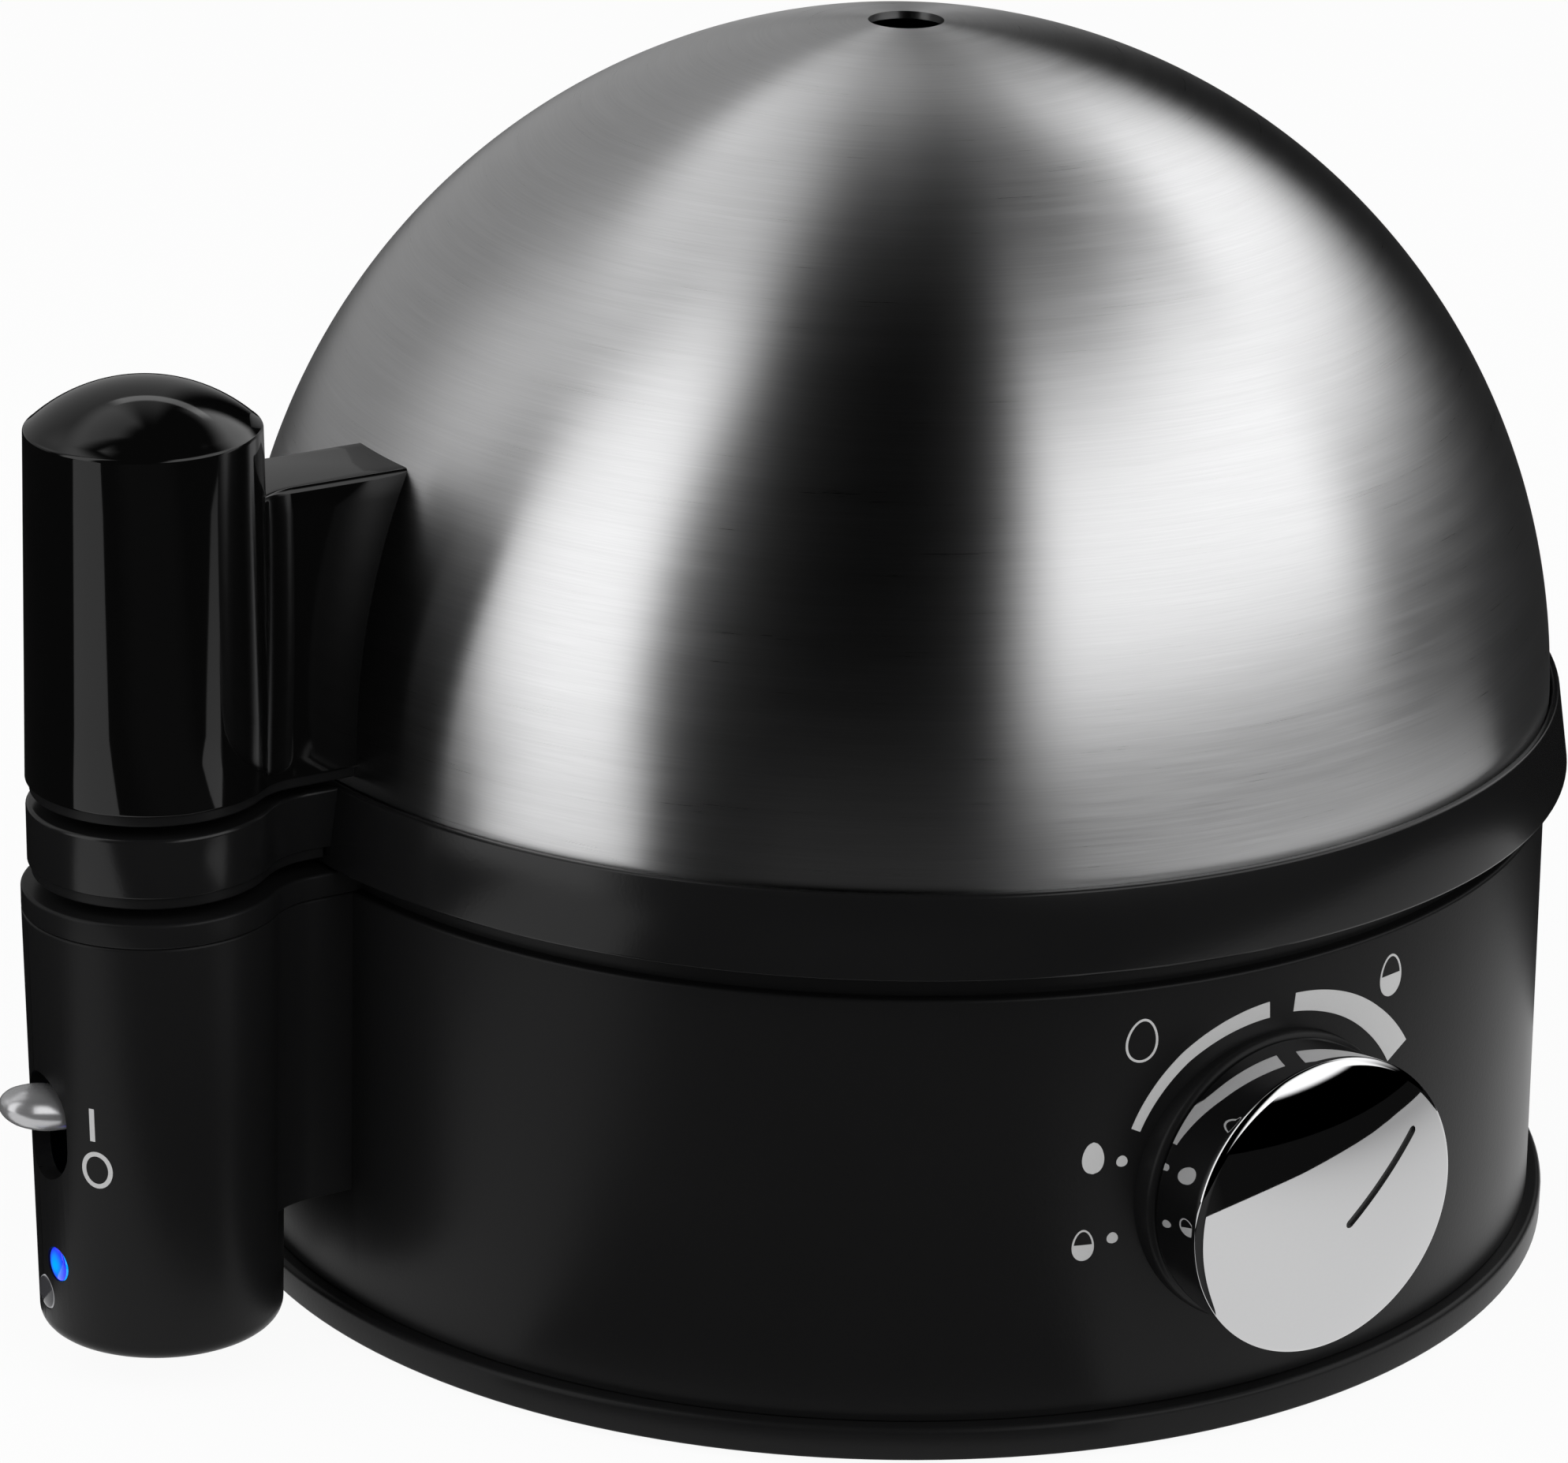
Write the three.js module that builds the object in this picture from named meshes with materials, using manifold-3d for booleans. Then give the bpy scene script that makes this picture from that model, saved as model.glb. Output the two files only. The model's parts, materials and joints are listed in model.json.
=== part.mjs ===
import * as THREE from 'three';
import { mergeVertices } from 'three/addons/utils/BufferGeometryUtils.js';
import Module from 'manifold-3d';

// An egg boiler for seven eggs: a round heated base with a water bowl, a lift-off egg carrier, and a
// steel dome lid. A tower of three handles stands beside the drum, one for each level.
// Lengths are millimetres and +Z is up. Every piece is drawn about the axis of the round drum, with
// the knob on -Y and the tower on -X, and the origin is then set at the middle of the footprint.

const wasm = await Module();
wasm.setup();

// Steps in a full turn, in a quarter round and along a curved profile
const roundSteps = 48;
const mediumSteps = 24;
const eggSteps = 20;
const smallSteps = 10;
const edgeSteps = 3;
const domeSteps = 8;
const crownSteps = 4;
const flareSteps = 4;
const elementSteps = 26;
const elementSides = 8;

// Clearances and the overrun of every cutting tool
const seatGap = 0.3;
const slideGap = 0.5;
const overrun = 4;

// Foot flange and base plate
const carrierRadius = 90;
const housingInset = 2;
const flangeOverhang = 2;
const flangeHeight = 4.35;
const flangeEdge = 0.8;
const footDrop = 1;
const plateThickness = 2.4;
const plateRimWidth = 14;
const ventSlotLength = 20;
const ventSlotWidth = 2.5;
const ventSlotPitch = 6;
const ventSlotCount = 5;

// Drum of the base housing
const housingHeight = 55.95;
const housingDraft = 0.8;
const housingWall = 2.5;
const bossRadius = 4;
const bossHeight = 24;
const bossScrewDepth = 15;
const bossCount = 4;

// Handle tower and the neck that ties it to the drum
const towerRadius = 16.4;
const towerDraft = 0.9;
const towerSpace = 3.2;
const towerLift = 3.9;
const towerEdge = 2.2;
const towerWall = 2.2;
const neckHalfWidth = 9.7;
const neckFillet = 10;
const neckLift = 19.5;

// Top cover: the collar under the carrier, and the cap on neck and tower
const capThickness = 3.2;
const collarInset = 1.6;
const collarWall = 4.6;
const collarRise = 4.1;
const shelfWidth = 4.5;

// Water bowl, seal and heat plate
const bowlDepth = 21;
const bowlWall = 1;
const bowlCorner = 8;
const sealThickness = 1;
const sealWidth = 3.2;
const heatPlateShare = 0.79;
const heatPlateThickness = 3;

// Ring element, its strap, the thermostat and the fuse
const elementShare = 0.8;
const elementTube = 4;
const elementOpening = THREE.MathUtils.degToRad(50);
const terminalLength = 9;
const terminalRadius = 3.8;
const strapWidth = 14;
const strapThickness = 1.6;
const strapScrewRadius = 2;
const strapScrewHead = 3.6;
const strapScrewHeadHeight = 2.2;
const thermostatRadius = 8;
const thermostatTabWidth = 6;
const thermostatTabReach = 5;
const thermostatTabThickness = 0.8;
const fuseRadius = 2.6;
const fuseLength = 13;
const fuseShare = 0.5;

// Carrier: ring, handle and egg tray
const ringHeight = 10.5;
const ringTaper = 1.6;
const ledgeDepth = 3.7;
const ledgeThickness = 3;
const lipThickness = 1;
const carrierNeckHalfWidth = 8.6;
const handleStep = 0.9;
const handleBand = 7.8;
const handleWall = 2.4;
const plugLip = 1.5;
const plugInset = 0.5;
const plugSpigot = 2.6;
const trayThickness = 1.2;
const trayMargin = 2.1;
const eggHoleShare = 0.2143;
const eggPitchShare = 0.619;
const outerEggs = 6;
const eggCollarDrop = 3;
const steamHoleShare = 0.048;
const steamPitchShare = 0.6;
const traySeatMargin = 1.7;
const trayScrewRadius = 1;
const trayScrewHead = 1.55;
const trayScrewHeadHeight = 1.1;
const trayScrewTip = 0.5;
const trayScrewCount = 3;

// Lid: dome, handle and bridge
const domeClearance = 0.3;
const domeWall = 1;
const domeSkirt = 1.1;
const domeHeight = 88.7;
const ventRadius = 4.9;
const lidHandleGap = 1.5;
const lidPlugLip = 1.4;
const lidHandleHeight = 44.6;
const lidHandleDraft = 0.9;
const lidHandleEdge = 1.2;
const lidHandleEdgeHeight = 1.5;
const lidCrownRise = 4.1;
const bridgeHeight = 36.3;
const bridgeHalfWidth = 10.5;
const bridgeTopShare = 0.62;
const bridgeFillet = 8;
const padHalfWidth = 9;
const padMargin = 0.8;
const padBottomLift = 7;
const padHeight = 23;
const padThinnest = 1.3;
const lidScrewRadius = 2;
const lidScrewHead = 3.4;
const lidScrewHeadHeight = 2;
const lidScrewBite = 7;
const lidScrewEdge = 6;

// Knob, its collar and the potentiometer that it turns
const knobHeightShare = 0.5013;
const knobFootRadius = 17.2;
const knobRadius = 19.05;
const knobDepth = 9.3;
const knobFlarePower = 1.8;
const knobRim = 1;
const knobCrownRise = 3.3;
const knobWall = 1.5;
const knobMarkAngle = THREE.MathUtils.degToRad(42);
const knobMarkLength = 13.4;
const knobMarkWidth = 1.1;
const knobMarkDepth = 0.6;
const insertPlate = 2;
const insertLift = 3.6;
const hubRadius = 6;
const hubRoof = 1.3;
const shaftRadius = 3;
const shaftFlatShare = 0.6;
const shaftSocket = 4;
const collarRadius = 19.4;
const collarChamfer = 1.3;
const collarProud = 1.3;
const spigotRadius = 8;
const bushingRadius = 4.5;
const nutAcross = 11;
const nutThickness = 1.9;
const bushingPastNut = 0.3;
const potWidth = 17;
const potDepth = 8;

// Control board with its parts, held by slotted posts
const boardWidth = 40;
const boardHeadroom = 1.8;
const boardThickness = 1.6;
const postWidth = 6;
const postWall = 2;
const postHeight = 9;
const postSlotDepth = 5;
const postFromMiddle = 15;
const buzzerRadius = 6;
const buzzerHeight = 7;
const buzzerHole = 1;
const relayWidth = 9;
const relayHeight = 18;
const relayDepth = 9;
const capacitorRadius = 3.5;
const capacitorLength = 9;
const terminalBlockWidth = 18;
const terminalBlockDepth = 9;
const terminalBlockHeight = 9;
const terminalBlockHole = 1.6;
const terminalWays = 3;

// Cord gland in the back wall
const glandHeight = 9.5;
const glandFlangeRadius = 7;
const glandFlange = 1.6;
const glandBodyRadius = 5.4;
const glandBore = 3.5;

// Switch lever in the tower wall
const leverHeightShare = 0.5174;
const leverReach = 13;
const leverTilt = THREE.MathUtils.degToRad(12.3);
const leverHalfLength = 4.5;
const leverHalfWidth = 4;
const leverHalfThickness = 2.85;
const leverStemRadius = 1.7;
const leverHubRadius = 2.8;
const leverHubHalfLength = 3.2;
const leverPinRadius = 1.1;
const slotHeight = 14.3;
const slotWidth = 10.2;
const switchSetback = 3;
const switchDepth = 12;
const switchWidth = 12;
const switchBodyHeight = 22;
const switchEar = 1.8;
const switchEarHeight = 8;
const switchPostRadius = 4;

// Lamps, lenses and their board in the tower
const lensRadius = 2.3;
const lensDome = 0.5;
const lensProud = 0.35;
const lensLength = 4;
const lampRadius = 2;
const lampLength = 3.6;
const lampBoardWidth = 13;
const lampBoardHeight = 15;
const lampBoardThickness = 1.4;
const lampRibDepth = 2;
const readyLensAcross = -2.5;
const readyLensLift = 11;
const heatLensAcross = 1;
const heatLensLift = 5.9;
const lensPlaces = [
  { name: 'ready', across: readyLensAcross, lift: readyLensLift },
  { name: 'heat', across: heatLensAcross, lift: heatLensLift },
];

// Rubber feet and the screws of the base plate
const footRadius = 6;
const footPocket = 1.2;
const footMargin = 2;
const footCount = 4;
const plateScrewRadius = 1.5;
const plateScrewHead = 3;
const plateScrewHeadHeight = 1.5;
const driveSlotWidth = 0.8;
const driveSlotDepth = 0.6;

// Heights that follow from the sizes above
const plateBottom = footDrop;
const plateTop = plateBottom + plateThickness;
const flangeTop = plateBottom + flangeHeight;
const housingTop = flangeTop + housingHeight;
const capTop = housingTop + capThickness;
const collarTop = capTop + collarRise;
const ledgeTop = collarTop + ledgeThickness;
const ringTop = ledgeTop + ledgeDepth;
const ringBottom = ringTop - ringHeight;
const towerBottom = plateBottom + towerLift;
const neckBottom = plateBottom + neckLift;
const handleBottom = ringTop - handleBand;
const carrierPlugBottom = handleBottom - plugLip;
const lidPlugBottom = ringTop + lidHandleGap;
const lidHandleBottom = lidPlugBottom + lidPlugLip;
const lidShoulder = lidHandleBottom + lidHandleHeight;
const bridgeTop = lidHandleBottom + bridgeHeight;
const domeSpring = ledgeTop + domeSkirt;
const bowlRimTop = capTop + sealThickness + bowlWall;
const bowlFloor = bowlRimTop - bowlDepth;
const bowlUnderside = bowlFloor - bowlWall;
const heatPlateBottom = bowlUnderside - heatPlateThickness;
const elementHeight = heatPlateBottom - seatGap - elementTube;
const strapTop = elementHeight - elementTube - seatGap;
const strapBottom = strapTop - strapThickness;
const knobAxisHeight = flangeTop + housingHeight * knobHeightShare;
const leverAxisHeight = flangeTop + housingHeight * leverHeightShare;

// Radii and places that follow
const housingFootRadius = carrierRadius - housingInset;
const housingTopRadius = housingFootRadius - housingDraft;
const flangeRadius = housingFootRadius + flangeOverhang;
const plateFloorRadius = flangeRadius - plateRimWidth;
const bossPitchRadius = housingTopRadius - housingWall - bossRadius / 2;
const towerDistance = carrierRadius + towerSpace + towerRadius;
const towerFootRadius = towerRadius - towerDraft;
const collarOuter = housingTopRadius - collarInset;
const collarInner = collarOuter - collarWall;
const shelfInner = collarInner - shelfWidth;
const bowlRimRadius = collarInner - seatGap;
const bowlRadius = shelfInner - slideGap;
const ringTopRadius = carrierRadius - ringTaper;
const skirtInner = collarOuter + slideGap;
const lipInner = ringTopRadius - lipThickness;
const ledgeInner = collarInner - slideGap;
const handleRadius = towerRadius - handleStep;
const plugRadius = handleRadius - plugInset;
const domeRadius = lipInner - domeClearance;
const domeInnerRadius = domeRadius - domeWall;
const domeInnerHeight = domeHeight - domeWall;
const trayRadius = domeInnerRadius - trayMargin;
const trayScrewPitch = trayRadius - traySeatMargin;
const eggHoleRadius = trayRadius * eggHoleShare;
const eggPitchRadius = trayRadius * eggPitchShare;
const steamHoleRadius = trayRadius * steamHoleShare;
const steamPitchRadius = trayRadius * steamPitchShare;
const heatPlateRadius = bowlRadius * heatPlateShare;
const elementRadius = heatPlateRadius * elementShare;
const strapScrewPlace = elementRadius + elementTube + strapScrewRadius + slideGap;
const strapHalfLength = strapScrewPlace + strapWidth / 2;
const fuseFromAxis = elementRadius * fuseShare;
const footPitchRadius = plateFloorRadius - 2 * footRadius - footMargin;
const lidHandleTopRadius = handleRadius - lidHandleDraft;
const bridgeTopWidthHalf = bridgeHalfWidth * bridgeTopShare;
const knobWallRadius = drumRadiusAt(knobAxisHeight);
const collarFront = knobWallRadius + collarProud;
const knobFoot = collarFront + slideGap;
const knobInnerWall = knobWallRadius - housingWall;
const potFront = Math.sqrt(knobInnerWall ** 2 - (potWidth / 2) ** 2) - slideGap;
const boardOuter = potFront - potDepth - seatGap;
const boardInner = boardOuter - boardThickness;
const boardBottom = plateTop + postHeight - postSlotDepth + seatGap;
const boardHeight = bowlUnderside - boardBottom - boardHeadroom;
const nutFront = collarFront + seatGap + nutThickness;
const hubFoot = nutFront + bushingPastNut + seatGap - knobFoot;
const knobRoof = knobDepth + knobRim + knobCrownRise - knobWall;
const leverPivotX = -(towerDistance + towerRadius - towerDraft / 2 - leverReach + leverHalfLength / 3);
const lampBoardFace = towerDistance + towerFootRadius + lensProud - lensLength - seatGap - lampLength;

/** Outer radius of the tapered drum at a height. */
function drumRadiusAt(height) {
  return housingFootRadius - (housingDraft * (height - flangeTop)) / housingHeight;
}

/** Outer radius of the base's tapered tower at a height. */
function towerRadiusAt(height) {
  const foot = towerBottom + towerEdge;
  return towerFootRadius + (towerDraft * (height - foot)) / (housingTop - foot);
}

/** Radius of an ellipsoid dome that springs from the lid's skirt, at a height. */
function domeRadiusAt(height, radius, rise) {
  return radius * Math.sqrt(1 - ((height - domeSpring) / rise) ** 2);
}

const finishes = {
  matteBlack: { color: 0x1b1b1c, roughness: 0.62, metalness: 0 },
  glossBlack: { color: 0x060607, roughness: 0.12, metalness: 0 },
  brushedSteel: { color: 0xb8b8ba, roughness: 0.32, metalness: 1 },
  chrome: { color: 0xe6e6e8, roughness: 0.05, metalness: 1 },
  silverPaint: { color: 0xb4b4b6, roughness: 0.35, metalness: 0.6 },
  aluminium: { color: 0xa9abae, roughness: 0.45, metalness: 1 },
  zincSteel: { color: 0x9a9c9e, roughness: 0.4, metalness: 1 },
  elementSheath: { color: 0x5a5c5e, roughness: 0.55, metalness: 0.9 },
  ceramic: { color: 0xe9e4d8, roughness: 0.6, metalness: 0 },
  silicone: { color: 0xa03a2c, roughness: 0.7, metalness: 0 },
  rubber: { color: 0x202020, roughness: 0.9, metalness: 0 },
  boardGreen: { color: 0x1f5b34, roughness: 0.45, metalness: 0 },
  whitePlastic: { color: 0xdedfda, roughness: 0.5, metalness: 0 },
  blueLens: { color: 0x1f6fff, roughness: 0.1, metalness: 0 },
  clearLens: { color: 0xc9ccd0, roughness: 0.08, metalness: 0 },
};

/** Turns a closed geometry into a solid, with its faces turned outwards. */
function solidOf(shape) {
  if (shape instanceof wasm.Manifold) return shape;
  const bare = shape.clone();
  for (const name of Object.keys(bare.attributes)) {
    if (name !== 'position') bare.deleteAttribute(name);
  }
  const merged = mergeVertices(bare);
  const vertProperties = new Float32Array(merged.attributes.position.array);
  const corners = merged.index.array;
  const kept = [];
  let volume = 0;
  const [a, b, c] = [new THREE.Vector3(), new THREE.Vector3(), new THREE.Vector3()];
  for (let i = 0; i < corners.length; i += 3) {
    const [ia, ib, ic] = [corners[i], corners[i + 1], corners[i + 2]];
    if (ia === ib || ib === ic || ic === ia) continue;
    kept.push([ia, ib, ic]);
    a.fromArray(vertProperties, ia * 3);
    b.fromArray(vertProperties, ib * 3);
    c.fromArray(vertProperties, ic * 3);
    volume += a.dot(b.cross(c));
  }
  const turned = volume < 0 ? kept.map(([ia, ib, ic]) => [ia, ic, ib]) : kept;
  const triVerts = new Uint32Array(turned.flat());
  return new wasm.Manifold(new wasm.Mesh({ numProp: 3, vertProperties, triVerts }));
}

/** The union of several shapes. */
function join(...shapes) {
  return shapes.map(solidOf).reduce((whole, next) => whole.add(next));
}

/** A shape with others taken away from it. */
function cut(shape, ...tools) {
  return tools.map(solidOf).reduce((whole, tool) => whole.subtract(tool), solidOf(shape));
}

/** The space that two shapes share. */
function common(first, second) {
  return solidOf(first).intersect(solidOf(second));
}

/** A named mesh with its own material. */
function piece(name, shape, finish) {
  const { vertProperties, triVerts } = solidOf(shape).getMesh();
  const geometry = new THREE.BufferGeometry();
  geometry.setAttribute('position', new THREE.BufferAttribute(new Float32Array(vertProperties), 3));
  geometry.setIndex(new THREE.BufferAttribute(new Uint32Array(triVerts), 1));
  const faceted = geometry.toNonIndexed();
  faceted.computeVertexNormals();
  const mesh = new THREE.Mesh(faceted, new THREE.MeshStandardMaterial(finishes[finish]));
  mesh.name = name;
  return mesh;
}

/** A shape turned about +Z from a profile of [radius, height] points. */
function turned(profile, steps = roundSteps) {
  const points = profile.map(([radius, height]) => new THREE.Vector2(radius, height));
  return new THREE.LatheGeometry(points, steps).rotateX(Math.PI / 2);
}

/** A turned shape whose profile closes on itself, such as a ring. */
function turnedRing(profile, steps = roundSteps) {
  return turned([...profile, profile[0]], steps);
}

/** A round bar along +Z. */
function rod(radius, bottom, top, steps = mediumSteps) {
  return turned([[0, bottom], [radius, bottom], [radius, top], [0, top]], steps);
}

/** A round bore along +Z whose flats keep a clearance from a bar of the given radius. */
function bore(radius, bottom, top, steps = smallSteps, clearance = seatGap) {
  return rod((radius + clearance) / Math.cos(Math.PI / steps), bottom, top, steps);
}

/** A block between two heights, with its middle at x and y. */
function block(width, depth, bottom, top, x = 0, y = 0) {
  const box = new THREE.BoxGeometry(width, depth, top - bottom);
  return box.translate(x, y, (bottom + top) / 2);
}

/** A flat outline raised between two heights. */
function prism(shape, bottom, top, curveSegments = edgeSteps) {
  const options = { depth: top - bottom, bevelEnabled: false, curveSegments };
  return new THREE.ExtrudeGeometry(shape, options).translate(0, 0, bottom);
}

/** A body drawn out between two outlines of the same make, one at each height. */
function loft(lowerShape, bottom, upperShape, top) {
  const [lower, upper] = [lowerShape, upperShape].map((shape) => {
    const points = shape.extractPoints(edgeSteps).shape;
    return points.filter((point, i) => i === 0 || !point.equals(points[0]));
  });
  const count = lower.length;
  const position = [
    ...lower.flatMap(({ x, y }) => [x, y, bottom]), ...upper.flatMap(({ x, y }) => [x, y, top]),
  ];
  const index = [];
  for (const [a, b, c] of THREE.ShapeUtils.triangulateShape(lower, [])) {
    const upwards = THREE.ShapeUtils.area([lower[a], lower[b], lower[c]]) > 0;
    const [first, second] = upwards ? [b, c] : [c, b];
    index.push(a, second, first, a + count, first + count, second + count);
  }
  for (let i = 0; i < count; i += 1) {
    const next = (i + 1) % count;
    index.push(i, next, next + count, i, next + count, i + count);
  }
  const geometry = new THREE.BufferGeometry();
  geometry.setAttribute('position', new THREE.BufferAttribute(new Float32Array(position), 3));
  return geometry.setIndex(index);
}

/** Points of a curve from 0 to 1, both ends included. */
function along(steps, pointAt) {
  return Array.from({ length: steps + 1 }, (_, i) => pointAt(i / steps));
}

/** Angles that share a full turn, from a first angle. */
function around(count, first = 0) {
  return Array.from({ length: count }, (_, i) => first + (2 * Math.PI * i) / count);
}

/** Turns a shape drawn along +Z to face the front (-Y), the back (+Y) or the tower side (-X). */
const facing = {
  front: (shape) => shape.rotateX(Math.PI / 2),
  back: (shape) => shape.rotateX(-Math.PI / 2),
  tower: (shape) => shape.rotateY(-Math.PI / 2),
};

/** A neck's outline in plan: parallel sides that open into a round tower with concave fillets. */
function neckOutline(innerEnd, halfWidth, fillet, radius) {
  const reach = Math.sqrt((radius + fillet) ** 2 - (halfWidth + fillet) ** 2);
  const filletX = -towerDistance + reach;
  const filletY = halfWidth + fillet;
  const turn = Math.atan2(filletY, reach);
  const outline = new THREE.Shape();
  outline.moveTo(-innerEnd, halfWidth);
  outline.lineTo(filletX, halfWidth);
  outline.absarc(filletX, filletY, fillet, -Math.PI / 2, turn - Math.PI, true);
  outline.lineTo(-towerDistance, 0);
  outline.absarc(filletX, -filletY, fillet, Math.PI - turn, Math.PI / 2, true);
  outline.lineTo(-innerEnd, -halfWidth);
  outline.closePath();
  return outline;
}

/** Moves a shape from the drum's axis to the tower's. */
function atTower(shape) {
  return shape.translate(-towerDistance, 0, 0);
}

/** A slot with round ends, its long side along x. */
function slotOutline(length, width) {
  const radius = width / 2;
  const middle = length / 2 - radius;
  const outline = new THREE.Shape();
  outline.absarc(middle, 0, radius, -Math.PI / 2, Math.PI / 2, false);
  outline.absarc(-middle, 0, radius, Math.PI / 2, (3 * Math.PI) / 2, false);
  outline.closePath();
  return outline;
}

/** A slotted pan-head screw along +Z: the head below zero, the shank up to its length. */
function screw(shank, head, headHeight, length) {
  const dome = along(edgeSteps, (t) => [
    head * Math.sin((t * Math.PI) / 2),
    -headHeight * Math.cos((t * Math.PI) / 2),
  ]);
  const body = turned([...dome, [shank, 0], [shank, length], [0, length]], smallSteps);
  const slot = block(head * 2 + overrun, driveSlotWidth, -headHeight - overrun, driveSlotDepth - headHeight);
  return cut(body, slot);
}

/** The solid drum, neck and tower of the base, before they are hollowed. */
function housingBlank() {
  const drum = turned([
    [0, flangeTop], [housingFootRadius, flangeTop], [housingTopRadius, housingTop], [0, housingTop],
  ]);
  const edge = along(edgeSteps, (t) => [
    towerFootRadius - towerEdge * (1 - Math.sin((t * Math.PI) / 2)),
    towerBottom + towerEdge * (1 - Math.cos((t * Math.PI) / 2)),
  ]);
  const tower = atTower(turned([[0, towerBottom], ...edge, [towerRadius, housingTop], [0, housingTop]],
    mediumSteps));
  const outlineAt = (height) => neckOutline(collarInner, neckHalfWidth, neckFillet, towerRadiusAt(height));
  return join(drum, tower, loft(outlineAt(neckBottom), neckBottom, outlineAt(housingTop), housingTop));
}

/** The base housing: a tapered drum open below and above, with a closed tower joined by a neck. */
function baseHousing() {
  const cavity = turned([
    [0, flangeTop - overrun], [housingFootRadius - housingWall, flangeTop - overrun],
    [housingTopRadius - housingWall, housingTop + overrun], [0, housingTop + overrun],
  ]);
  const towerCavity = atTower(turned([
    [0, towerBottom + towerWall], [towerFootRadius - towerWall, towerBottom + towerWall],
    [towerRadius - towerWall, housingTop + overrun], [0, housingTop + overrun],
  ], mediumSteps));
  const passageAt = (height) => neckOutline(shelfInner, neckHalfWidth - towerWall, neckFillet + towerWall,
    towerRadiusAt(height) - towerWall);
  const [passageFoot, passageTop] = [neckBottom + towerWall, housingTop + overrun];
  const bosses = around(bossCount, Math.PI / bossCount).map((angle) => {
    const boss = cut(rod(bossRadius, flangeTop, flangeTop + bossHeight, smallSteps),
      bore(plateScrewRadius, flangeTop - overrun, flangeTop + bossScrewDepth + slideGap));
    return polar(boss, bossPitchRadius, angle);
  });
  const switchPost = rod(switchPostRadius, towerBottom + towerWall / 2,
    leverAxisHeight - switchBodyHeight / 2 - seatGap, smallSteps);
  const switchPostX = leverPivotX + switchSetback + switchDepth / 2 + leverHubRadius;
  const lampRibs = [-1, 1].map((side) => block(lampRibDepth, lampRibDepth, towerBottom + towerWall / 2,
    boardLevel(lampBoardHeight), -lampBoardFace + lampBoardThickness + seatGap + lampRibDepth / 2,
    side * (lampBoardWidth / 2 - lampRibDepth)));
  const shell = join(
    cut(housingBlank(), cavity, towerCavity,
      loft(passageAt(passageFoot), passageFoot, passageAt(passageTop), passageTop)),
    ...bosses, switchPost.translate(switchPostX, 0, 0), ...lampRibs);
  const slot = facing.tower(prism(slotOutline(slotHeight, slotWidth), 0, towerRadius + overrun))
    .translate(-towerDistance, 0, leverAxisHeight);
  const knobHole = facing.front(bore(spigotRadius, collarInner - overrun, carrierRadius + overrun,
    mediumSteps))
    .translate(0, 0, knobAxisHeight);
  const glandHole = facing.back(bore(glandBodyRadius, collarInner - overrun, carrierRadius + overrun,
    mediumSteps)).translate(0, 0, flangeTop + glandHeight);
  const lensHoles = lensPlaces.map(({ across, lift }) => facing.tower(
    bore(lensRadius, towerDistance, towerDistance + towerRadius + overrun, smallSteps * 2))
    .translate(0, across, towerBottom + lift));
  return cut(shell, slot, knobHole, glandHole, ...lensHoles);
}

/** Places a solid at a radius and angle about the drum's axis. */
function polar(shape, radius, angle) {
  const moved = pieceGeometry(shape).rotateZ(angle);
  return moved.translate(radius * Math.cos(angle), radius * Math.sin(angle), 0);
}

/** The plain geometry of a solid, for turning and moving. */
function pieceGeometry(shape) {
  const { vertProperties, triVerts } = solidOf(shape).getMesh();
  const geometry = new THREE.BufferGeometry();
  geometry.setAttribute('position', new THREE.BufferAttribute(new Float32Array(vertProperties), 3));
  geometry.setIndex(new THREE.BufferAttribute(new Uint32Array(triVerts), 1));
  return geometry;
}

/** The top of a board that stands on the tower's floor. */
function boardLevel(height) {
  return towerBottom + towerWall + seatGap + height;
}

/** The base plate with the foot flange, foot pockets, vent slots and board posts. */
function basePlate() {
  const edge = along(edgeSteps, (t) => [
    flangeRadius - flangeEdge * (1 - Math.cos((t * Math.PI) / 2)),
    flangeTop - flangeEdge * (1 - Math.sin((t * Math.PI) / 2)),
  ]);
  const disc = turned([
    [0, plateBottom], [flangeRadius, plateBottom], ...edge,
    [plateFloorRadius, flangeTop], [plateFloorRadius, plateTop], [0, plateTop],
  ]);
  const pockets = around(footCount, Math.PI / footCount).map((angle) => polar(
    bore(footRadius, plateBottom - overrun, plateBottom + footPocket + seatGap, smallSteps * 2),
    footPitchRadius, angle));
  const screwHoles = around(bossCount, Math.PI / bossCount).map((angle) => polar(join(
    bore(plateScrewRadius, plateBottom - overrun, flangeTop + overrun),
    bore(plateScrewHead, plateBottom - overrun, plateBottom + plateScrewHeadHeight + seatGap)),
  bossPitchRadius, angle));
  const slots = Array.from({ length: ventSlotCount }, (_, i) => prism(
    slotOutline(ventSlotLength, ventSlotWidth), plateBottom - overrun, plateTop + overrun)
    .translate(0, (i - (ventSlotCount - 1) / 2) * ventSlotPitch, 0));
  const posts = [-1, 1].map((side) => boardPost().translate(side * postFromMiddle, 0, 0));
  return join(cut(disc, ...pockets, ...screwHoles, ...slots), ...posts);
}

/** A slotted post that the control board stands in. */
function boardPost() {
  const middle = -(boardOuter + boardInner) / 2;
  const depth = boardThickness + 2 * (postWall + seatGap);
  const post = block(postWidth, depth, plateTop - plateThickness / 2, plateTop + postHeight, 0, middle);
  const slot = block(postWidth + overrun, boardThickness + 2 * seatGap, plateTop + postHeight - postSlotDepth,
    plateTop + postHeight + overrun, 0, middle);
  return pieceGeometry(cut(post, slot));
}

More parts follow.
